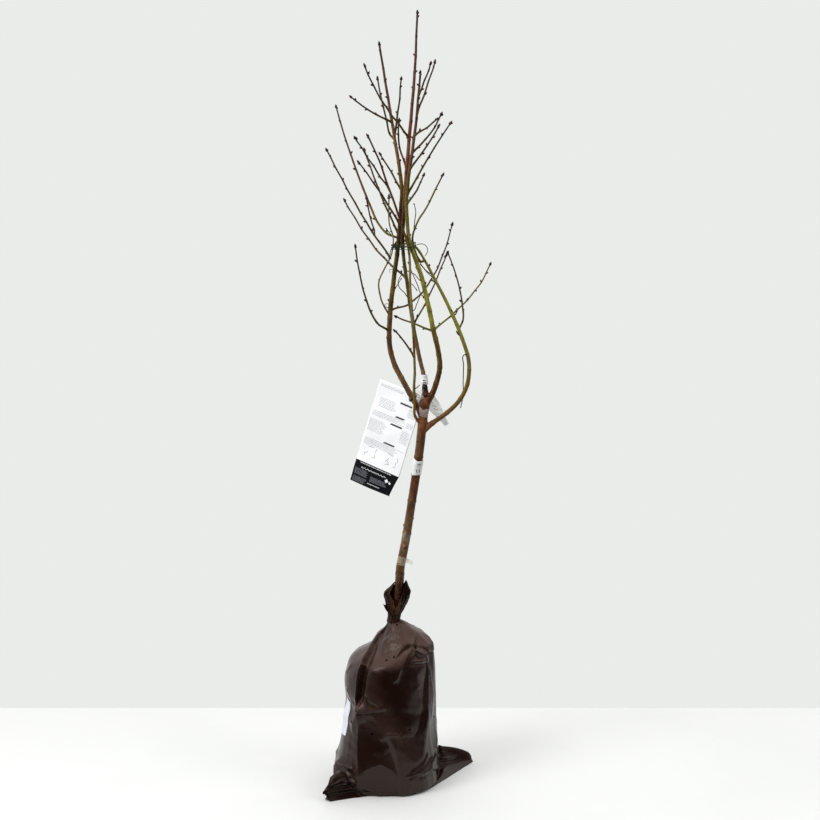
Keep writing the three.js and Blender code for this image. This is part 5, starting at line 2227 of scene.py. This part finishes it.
@dataclass
class Leaflet:
    """The care leaflet: a white sheet with a dark foot, generic print and a curled corner."""

    trees: Trees
    node: str = "care_card"
    strip: float = 170.0            # where the dark foot begins, from the top
    wall: float = 0.5
    seed: int = 3
    print_off: float = 0.06

    def __post_init__(self) -> None:
        """Reads the sheet's corners from the frame."""
        mesh = frame["nodes"][self.node].data
        spots = points_of(mesh)
        faces = np.array([face.vertices for face in mesh.polygons])
        edges = np.cross(spots[faces[:, 1]] - spots[faces[:, 0]],
                         spots[faces[:, 2]] - spots[faces[:, 0]])
        face = unit(edges[np.argmax(np.linalg.norm(edges, axis=1))])
        self.face = face if face[1] < 0 else -face
        depth = spots @ self.face
        front = np.unique(spots[depth > depth.max() - 0.1].round(2), axis=0)
        middle = front.mean(0)
        order = np.argsort(-np.linalg.norm(front - middle, axis=1))
        corners = front[order[:4]]
        pairs = [(np.linalg.norm(a - b), tuple(a - b)) for k, a in enumerate(corners)
                 for b in corners[k + 1:]]
        pairs.sort(key=lambda pair: pair[0])
        across = np.array(pairs[0][1])
        self.across = unit(across if across[0] > 0 else -across)
        down = np.cross(self.across, self.face)
        self.down = down if down[2] < 0 else -down
        middle = corners.mean(0)
        reach = (corners - middle) @ np.stack([self.across, self.down], axis=1)
        self.width, self.height = np.ptp(reach[:, 0]), np.ptp(reach[:, 1])
        self.corner = middle - self.across * self.width / 2 - self.down * self.height / 2

    def at(self, across: Array, down: Array) -> Array:
        """Points of the sheet's front at distances from its top left corner.

        Args:
            across: distances from the left.
            down: distances from the top.

        Returns:
            One point for each pair.
        """
        u, v = np.asarray(across, float), np.asarray(down, float)
        flat = (self.corner + u[..., None] * self.across + v[..., None] * self.down)
        curl = np.clip(u / self.width / 0.7 - 0.43, 0, 1)
        curl = curl * np.clip(v / self.height / 0.22 - 3.55, 0, 1)
        bow = 1.3 * np.sin(math.pi * u / self.width) * np.cos(2.2 * v / self.height)
        back = -7.0 * curl * curl - 1.0 - bow * 0.6 + 0.5 * waves(2, u, v, 60.0, 4)
        return flat + self.face * back[..., None] - self.across * (12.5 * curl)[..., None]

    def frame_at(self, across: float, down: float) -> tuple[Array, Array, Array]:
        """Point, facing and rightward direction at a place on the sheet.

        Args:
            across: distance from the left.
            down: distance from the top.

        Returns:
            The point and the two directions.
        """
        here, right, below = (self.at(np.array(across + du), np.array(down + dv))
                              for du, dv in ((0, 0), (0.5, 0), (0, 0.5)))
        aim = unit(right - here)
        face = unit(np.cross(below - here, aim))
        return here, face if face @ self.face > 0 else -face, aim

    def build(self) -> list[bpy.types.Object]:
        """Builds the sheet and its print.

        Returns:
            The pieces.
        """
        edge = (self.strip - 0.15, self.strip + 0.15)
        downs = np.unique(np.r_[np.linspace(0, self.height, 60), edge])
        u, v = np.meshgrid(np.linspace(0, self.width, 40), downs[::-1])
        mesh = thin_sheet("leaflet", self.at(u, v), self.wall)
        white, dark = np.array(shade("ecedee")), np.array(shade("0c0d11"))
        share = (v > self.strip).astype(float).ravel()[:, None]
        front = white * (1 - share) + dark * share
        set_values(mesh, "tint", np.vstack([front, np.tile(white, (len(front), 1))]))
        finish = Coloured("leaflet_paper", "ffffff", "f3f3f5", 0.5, 14.0, own_tint=True,
                          mirror=0.15).material()
        sheet = declare(put(mesh, finish), "paper", (self.node,))
        return [sheet, self.print_piece()]

    def mark(self, prints: Prints, across: float, down: float, wide: float, tall: float,
             colour: str, turn: float = 0.0, thick: float = 0.15) -> None:
        """Notes one flat bar on the sheet.

        Args:
            prints: where it is noted.
            across: place from the sheet's left.
            down: place from the sheet's top.
            wide: its length.
            tall: its height.
            colour: its hex code.
            turn: how far it is turned, in degrees.
            thick: how thick it is.
        """
        place, face, aim = self.frame_at(across, down)
        side = np.cross(face, aim)
        aim = aim * math.cos(math.radians(turn)) + side * math.sin(math.radians(turn))
        off = self.wall / 2 + self.print_off
        prints.add(place + face * off, face, aim, (wide, tall, thick), colour)

    def print_piece(self) -> bpy.types.Object:
        """Headers, text, drawings and signs, all generic.

        Returns:
            The piece.
        """
        prints, random = Prints(self.trees), np.random.default_rng(self.seed)
        mark = partial(self.mark, prints)
        for block in TEXT:
            for down in np.arange(block.top, block.bottom + 0.1, block.pitch):
                at = block.left
                end = block.right - random.uniform(0, 0.25) * (block.right - block.left)
                while at < end:
                    long = min(random.uniform(*block.word), end - at)
                    if long > 1.0:
                        mark(at + long / 2, down, long, block.tall, block.colour)
                    at += long + 1.1
        for left, right, down in HEADERS:
            mark((left + right) / 2, down, right - left, 3.4, "0d0f12")
            for at in np.arange(left + 3, right - 2, 2.4):
                mark(at, down, 1.3, 0.8, "6f7276", thick=0.3)
        for across, down, long, turn in STROKES:
            mark(across, down, long, 0.9, "8b8f94", turn)
        for k, across in enumerate(np.arange(18, 80, 2.3)):
            mark(across, 182 + 0.8 * math.sin(k * 1.7), 3.1, 0.8, "d9dbdd", (55, -48, 20)[k % 3])
        mark(84, 188, 6.5, 6.5, "e8eaea", 45)
        mark(93, 190, 4.4, 4.4, "e8eaea", 45)
        mark(20, 201.8, 34, 1.0, "0c0d10")
        return prints.build("leaflet_print", "paper")


@dataclass
class Films:
    """The clear wraps and tags at the fork."""

    wood: Wood
    prints: Prints
    slope: float = 56.0             # how steeply the tag runs down to the right
    length: float = 68.0
    width: float = 25.0
    wrap_foot: float = 756.0
    wrap_rise: float = 46.0
    opening: tuple[float, float] = (764.0, 784.0)   # where the wrap leaves the trunk's front
    wrap_turns: tuple[float, float] = (205.0, 325.0)    # degrees round the trunk

    def build(self) -> list[bpy.types.Object]:
        """Builds the tag, the wrap round the fork and the tail of the trunk's tape."""
        return [self.tag(), self.wrap(), self.tail()]

    def tag(self) -> bpy.types.Object:
        """A crumpled whitish tag behind the thin right bough.

        Returns:
            The piece.
        """
        low, high = in_mm(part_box("film_tag"))
        middle = (low + high) / 2
        turn = math.radians(self.slope)
        along = np.array([math.cos(turn), 0, -math.sin(turn)])
        across = np.array([math.sin(turn), 0, math.cos(turn)])
        u, v = np.meshgrid(np.linspace(-0.5, 0.5, 40), np.linspace(-0.5, 0.5, 16))
        narrow = 1 - 0.62 * ease(-0.25, 0.5, u)
        grid = middle + (u * self.length)[..., None] * along + \
            (v * self.width * narrow)[..., None] * across
        crumple = np.abs(waves(8, u * self.length, v * self.width, 16.0)) * 1.4
        grid[..., 1] += crumple + 2.5 * ease(0.1, 0.5, u)
        mesh = thin_sheet("fork_tag", grid, 0.35)
        share = ease(-0.05, 0.35, u).ravel()[:, None]
        tint = np.array(shade("f4f3f0")) * (1 - share) + np.array(shade("d6d7d6")) * share
        set_values(mesh, "tint", np.vstack([tint, tint]))
        for at in (-0.32, -0.2, -0.08):
            place = middle + along * at * self.length + np.array([0, -0.6, 0])
            self.prints.add(place, np.array([0.0, -1.0, 0.0]), np.array([0.95, 0.0, -0.3]),
                            (9.0, 0.8, 0.2), "a9abad")
        finish = Coloured("tag_film", "ffffff", "ececec", 0.3, 90.0, clear=0.42,
                          own_tint=True).material()
        return declare(put(mesh, finish), "clear_film", ("film_tag",))

    def wrap(self) -> bpy.types.Object:
        """A milky wrap across the fork and round the front of the trunk's top.

        Returns:
            The piece.
        """
        trunk = self.wood.lines["trunk"]
        u, v = np.meshgrid(np.linspace(0, 1, 26), np.linspace(0, 1, 30))
        grid = np.zeros((*u.shape, 3))
        left, centre = self.wood.lines["left"], self.wood.lines["centre"]
        first, last = self.wrap_turns
        for i in range(30):
            z = self.wrap_foot + self.wrap_rise * v[i, 0]
            a, ra, _ = left.at_height(max(z, 766))
            b, rb, _ = centre.at_height(max(z, 770))
            low, rl, _ = trunk.at_height(min(z, 770))
            start = a + np.array([ra * 0.3, -ra * 0.8, 0])
            end = b + np.array([-rb * 0.4, -rb * 0.9, 0])
            for j in range(26):
                across = u[i, j]
                open_place = start + (end - start) * across
                open_place[1] += 2.0 * math.sin(math.pi * across)
                turn = math.radians(first + (last - first) * across)
                closed = low + (rl + 1.1) * np.array([math.cos(turn), math.sin(turn), 0])
                share = float(ease(*self.opening, z))
                grid[i, j] = closed * (1 - share) + open_place * share
                grid[i, j, 2] = z - 7 * (1 - v[i, 0]) * math.sin(2.5 * across)
        grid += grid_normals(grid, False) * (0.4 * waves(5, u * 24, v * 50, 13.0))[..., None]
        for height, turn in ((796, -18), (790, -14), (784, -20)):
            row = int(np.argmin(np.abs(grid[:, 0, 2] - height)))
            self.prints.add(grid[row, 12] + np.array([0, -0.5, 0]), np.array([0.0, -1.0, 0.0]),
                            np.array([1.0, 0.0, math.tan(math.radians(turn))]), (7.0, 0.9, 0.2),
                            "8d9499")
        finish = Coloured("wrap_film", "e2dcd6", "c8b9ad", 0.2, 90.0, clear=0.2).material()
        return declare(put(thin_sheet("fork_wrap", grid, 0.3), finish), "clear_film")

    def tail(self) -> bpy.types.Object:
        """The free end of the tape round the trunk.

        Returns:
            The piece.
        """
        low, high = in_mm(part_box("trunk_tape"))
        start = np.array([high[0] - 1.5, (low[1] + high[1]) / 2 - 4, (low[2] + high[2]) / 2])
        u, v = np.meshgrid(np.linspace(0, 1, 18), np.linspace(-0.5, 0.5, 8))
        grid = start + np.stack([13 * u, -3 * u + 1.2 * np.sin(5 * u), 9 * v - 4 * u * u], axis=-1)
        finish = Coloured("tail_film", "dcd8cf", "c9c2b4", 0.15, 120.0, clear=0.38).material()
        return declare(put(thin_sheet("tape_tail", grid, 0.3), finish), "clear_film")


@dataclass
class Strings:
    """The twisted string round the leaders and the leaflet's strap."""

    trees: Trees
    wood: Wood
    girth: float = 0.8
    pitch: float = 7.0              # length of one turn of the twist
    seed: int = 4
    layers: tuple[tuple[float, str], ...] = (   # height over the tie's middle, colour
        (-3.6, "2a332a"), (-1.2, "343d2f"), (1.4, "2c362d"), (3.8, "3a4230"), (0.2, "2f3a30"))
    ends: tuple[tuple[tuple[float, float, float], ...], ...] = (    # steps away from the knot
        ((-9, 0, 0), (-14, -2, -5), (-18, -3, -12), (-19, -3, -20)),
        ((0, 0, 2), (3, -3, -7), (6, -4, -15)))

    def twisted(self, path: Array, colour: str, girth: float = 0.0, plies: int = 2,
                closed: bool = False) -> list[Line]:
        """The plies of a twisted string along a path.

        Args:
            path: rows of x, y, z.
            colour: hex code of the string.
            girth: its thickness, the usual one where 0.
            plies: number of plies.
            closed: whether the path ends where it starts.

        Returns:
            One line for each ply.
        """
        girth = girth or self.girth
        _, across, other = side_axes(path)
        run = run_along(path)
        rate = 2 * math.pi / self.pitch
        if closed:
            rate = 2 * math.pi * max(1, round(run[-1] / self.pitch)) / run[-1]
        lines = []
        for ply in range(plies):
            turn = run * rate + 2 * math.pi * ply / plies
            points = path + 0.5 * girth * (across * np.cos(turn)[:, None]
                                           + other * np.sin(turn)[:, None])
            lines.append(Line.plain(points, 0.62 * girth, colour))
        return lines

    def hull(self) -> Array:
        """Outline of all the stems at the height of the tie, with room for the string.

        Returns:
            Its corners, as rows of x, y.
        """
        rim = []
        turns = np.linspace(0, 2 * math.pi, 24, endpoint=False)
        for line in self.wood.lines.values():
            heights = line.points[:, 2]
            if heights.min() < TIE_MIDDLE < heights.max():
                middle, radius, _ = line.at_height(TIE_MIDDLE)
                reach = radius + self.girth
                rim.append(middle[:2] + reach * np.stack([np.cos(turns), np.sin(turns)], axis=1))
        low, high = (corner[:2] for corner in in_mm(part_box("string_tie")))
        rim = np.vstack(rim)
        inside = ((rim > low - 2) & (rim < high + 2)).all(axis=1)
        return hull_of(rim[inside])

    def build(self) -> list[bpy.types.Object]:
        """Builds the tie with its knot and loose ends, and the strap.

        Returns:
            The pieces.
        """
        hull = self.hull()
        lines = self.rounds(hull) + self.knot(hull)
        fibre = Coloured("string_fibre", "30382e", "a8a894", 0.7, 900.0, 2600.0, 0.15,
                         own_tint=True).material()
        for line in lines:
            share = ease(24, 40, line.points[:, 0])[:, None]
            line.tints = line.tints * (1 - share) + np.array(shade("59602f")) * share
        tie = self.wood.line_mesh("string_wraps", lines)
        grow(tie, self.trees.sweep, Sides=7, Relief=0.0, Seed=0.0, Finish=fibre)
        return [declare(tie, "string", ("string_tie",)), self.loose_end(fibre), self.strap()]

    def rounds(self, hull: Array) -> list[Line]:
        """The string's turns round the stems.

        Args:
            hull: outline that they follow.

        Returns:
            Their plies.
        """
        random = np.random.default_rng(self.seed)
        middle = (hull.min(0) + hull.max(0)) / 2
        lines = []
        for offset, colour in self.layers:
            closed = np.vstack([hull, hull[:1]])
            ring = curve_through(np.hstack([closed, np.zeros((len(closed), 1))]), 1.2)[:-1]
            swell = 1 + random.uniform(0.0, 0.05)
            ring[:, :2] = middle + (ring[:, :2] - middle) * swell
            lean = random.uniform(-0.13, 0.13, 2)
            ring[:, 2] = TIE_MIDDLE + offset + (ring[:, :2] - middle) @ lean
            ring = np.vstack([ring, ring[:1]])
            lines += self.twisted(ring, colour, closed=True)
        return lines

    def knot(self, hull: Array) -> list[Line]:
        """The knot in front, its loops and two loose ends.

        Args:
            hull: outline that the string follows.

        Returns:
            Their plies.
        """
        lines = []
        left = hull[np.argmin(hull @ np.array([0.8, 0.6]))]
        across = left[0] + 15.0
        near = hull[np.abs(hull[:, 0] - across) < 8.0][:, 1].min() - 2.0
        knot = np.array([across, near, TIE_MIDDLE + 1.5])
        turn = np.linspace(0, 2 * math.pi, 70)
        for tilt in (0.0, 1.1, 2.3):
            loop = knot + np.stack([9.0 * np.cos(turn + tilt), 1.6 * np.sin(3 * turn) - 0.8,
                                    6.4 * np.sin(2 * turn + tilt)], axis=1)
            lines += self.twisted(loop, "2b352d", 1.0)
        for way in self.ends:
            path = curve_through(knot + np.array(way, float), 1.2)
            lines += self.twisted(path, "2f3a32", 0.9)
        return lines

    def loose_end(self, fibre: bpy.types.Material) -> bpy.types.Object:
        """The thin loose loop beside the tie.

        Args:
            fibre: the string's stuff.

        Returns:
            The piece.
        """
        low, high = in_mm(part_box("string_end"))
        shares = np.array([(-0.05, 0.92, 0.9), (0.3, 0.7, 0.97), (0.62, 0.5, 0.95),
                           (0.9, 0.3, 0.72), (0.97, 0.2, 0.45), (0.72, 0.05, 0.02)])
        path = curve_through(low + shares * (high - low), 1.0)
        end = self.wood.line_mesh("string_loop", self.twisted(path, "6b665c", 0.85))
        grow(end, self.trees.sweep, Sides=7, Relief=0.0, Seed=0.0, Finish=fibre)
        return declare(end, "string", ("string_end",))

    def strap(self, half: float = 8.2, slope: float = 38.0) -> bpy.types.Object:
        """The leaflet's dark strap: a flattened loop round the left bough, through the sheet.

        Args:
            half: half the loop's length across.
            slope: how steeply it rises, in degrees.

        Returns:
            The piece.
        """
        low, high = in_mm(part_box("card_strap"))
        middle = (low + high) / 2
        turn = np.linspace(0, 2 * math.pi, 121)
        across = np.array([math.cos(math.radians(slope)), 0, math.sin(math.radians(slope))])
        straight = (high[1] - low[1]) / 2 - half - 1.0
        path = middle + across * (half * np.cos(turn))[:, None]
        path[:, 1] += half * np.sin(turn) + straight * np.tanh(6 * np.sin(turn))
        side = np.array([-across[2], 0, across[0]])
        lines = [Line.plain(path + side * off, 0.85, "1c1613") for off in (-1.5, -0.5, 0.5, 1.5)]
        finish = Coloured("strap_stuff", "1c1613", "8a8078", 0.5, 500.0, own_tint=True).material()
        strap = self.wood.line_mesh("leaflet_strap", lines)
        grow(strap, self.trees.sweep, Sides=8, Relief=0.0, Seed=0.0, Finish=finish)
        return declare(strap, "string", ("card_strap",))


# ---------------------------------------------------------------- room, light and camera
@dataclass
class Studio:
    """A plain pale floor, soft light and the camera."""

    eye: tuple[float, float, float] = (0.045, -3.320, 1.347)
    pitch: float = 10.0             # degrees downward
    lens: float = 75.47
    floor: tuple[tuple[float, float], ...] = (
        (-0.84, -0.42), (0.94, -0.42), (1.12, 0.415), (-1.02, 0.415))
    aim: tuple[float, float, float] = (0.03, 0.0, 0.6)      # where the lamps face

    def build(self) -> None:
        """Makes the floor, the surroundings, the lamps and the camera."""
        rim = [(x / MM, y / MM, 0) for x, y in self.floor]
        finish = Coloured("floor_paint", "c7c8c6", "c3c4c2", 0.55, 2.0, 400.0, 0.02).material()
        floor = put(new_mesh("floor", rim, [(0, 1, 2, 3)]), finish)
        self.surroundings()
        self.lamp("window", (-2.4, -1.5, 2.7), (1.8, 1.8), 30.0)
        for name, place, size, power in (
                ("window_fill", (-2.2, -1.7, 2.3), (1.4, 1.4), 58.0),
                ("ceiling", (0.6, -0.3, 3.4), (2.4, 2.4), 45.0),
                ("far_side", (2.6, -1.2, 1.7), (1.2, 2.0), 22.0)):
            self.lamp(name, place, size, power).visible_glossy = False
        camera = bpy.data.cameras.new("camera")
        camera.lens, camera.sensor_width = self.lens, 36.0
        holder = bpy.data.objects.new("camera", camera)
        holder.location = self.eye
        holder.rotation_euler = (math.radians(90 - self.pitch), 0.0, 0.0)
        bpy.context.scene.collection.objects.link(holder)
        bpy.context.scene.camera = holder
        bpy.context.scene.view_settings.view_transform = "Standard"

    def lamp(self, name: str, place: tuple[float, float, float], size: tuple[float, float],
             power: float) -> bpy.types.Object:
        """One soft lamp that faces the middle of the plant.

        Args:
            name: name of the lamp.
            place: where it hangs, in metres.
            size: its width and height, in metres.
            power: its power, in watts.

        Returns:
            The lamp.
        """
        light = bpy.data.lights.new(name, "AREA")
        light.shape, light.size, light.size_y, light.energy = "RECTANGLE", *size, power
        holder = bpy.data.objects.new(name, light)
        holder.location = place
        heading = Vector(self.aim) - holder.location
        holder.rotation_euler = heading.to_track_quat("-Z", "Y").to_euler()
        bpy.context.scene.collection.objects.link(holder)
        return holder

    def surroundings(self) -> None:
        """Pale all round; its light is weaker from the viewer's side."""
        world = bpy.data.worlds.new("pale_room")
        world.use_nodes = True
        work = NodeWork()
        work.tree = world.node_tree
        work.tree.nodes.clear()
        heading = work.add("ShaderNodeTexCoord", out="Generated")
        bright = work.add("ShaderNodeVectorMath", {0: heading, 1: (-0.3, 0.8, 0.5)}, "Value",
                          operation="DOT_PRODUCT")
        light = work.between(bright, (-0.7, 0.6), (0.12, 1.3))
        mirrored = work.between(bright, (-0.45, 0.8), (0.03, 0.8))
        rays = work.tree.nodes.new("ShaderNodeLightPath")
        strength = work.add("ShaderNodeMix", {
            0: rays.outputs["Is Glossy Ray"], 2: light, 3: mirrored}, 0, data_type="FLOAT")
        soft = work.add("ShaderNodeBackground",
                        {"Color": (1.0, 1.0, 1.0, 1.0), "Strength": strength})
        seen = work.add("ShaderNodeBackground", {"Color": shade("eaece9"), "Strength": 1.0})
        chosen = work.add("ShaderNodeMixShader", {
            0: rays.outputs["Is Camera Ray"], 1: soft, 2: seen})
        last = work.tree.nodes.new("ShaderNodeOutputWorld")
        work.tree.links.new(chosen, last.inputs[0])
        bpy.context.scene.world = world


def main() -> None:
    """Builds the plant piece by piece."""
    logging.basicConfig(level=logging.INFO, format="%(name)s: %(message)s")
    trees = Trees()
    Studio().build()
    wood = Wood(trees)
    wood.build()
    film = Film("bag_film_gloss").material()
    RootBall(trees).build(film)
    # the cuff film's second colour is the brown of its painted sheen
    Cuff(wood).build(Film("cuff_film_gloss", "180b06", "6b4026", 0.26, mirror=0.3).material())
    prints = Prints(trees)
    for sleeve in SLEEVES:
        sleeve.build(wood, prints)
    Films(wood, prints).build()
    prints.build("label_print", "paper")
    Leaflet(trees).build()
    Strings(trees, wood).build()
    for node, thing in frame["nodes"].items():
        if not thing.hide_render:
            log.info("still bare: %s", node)


if __name__ == "__main__":
    main()
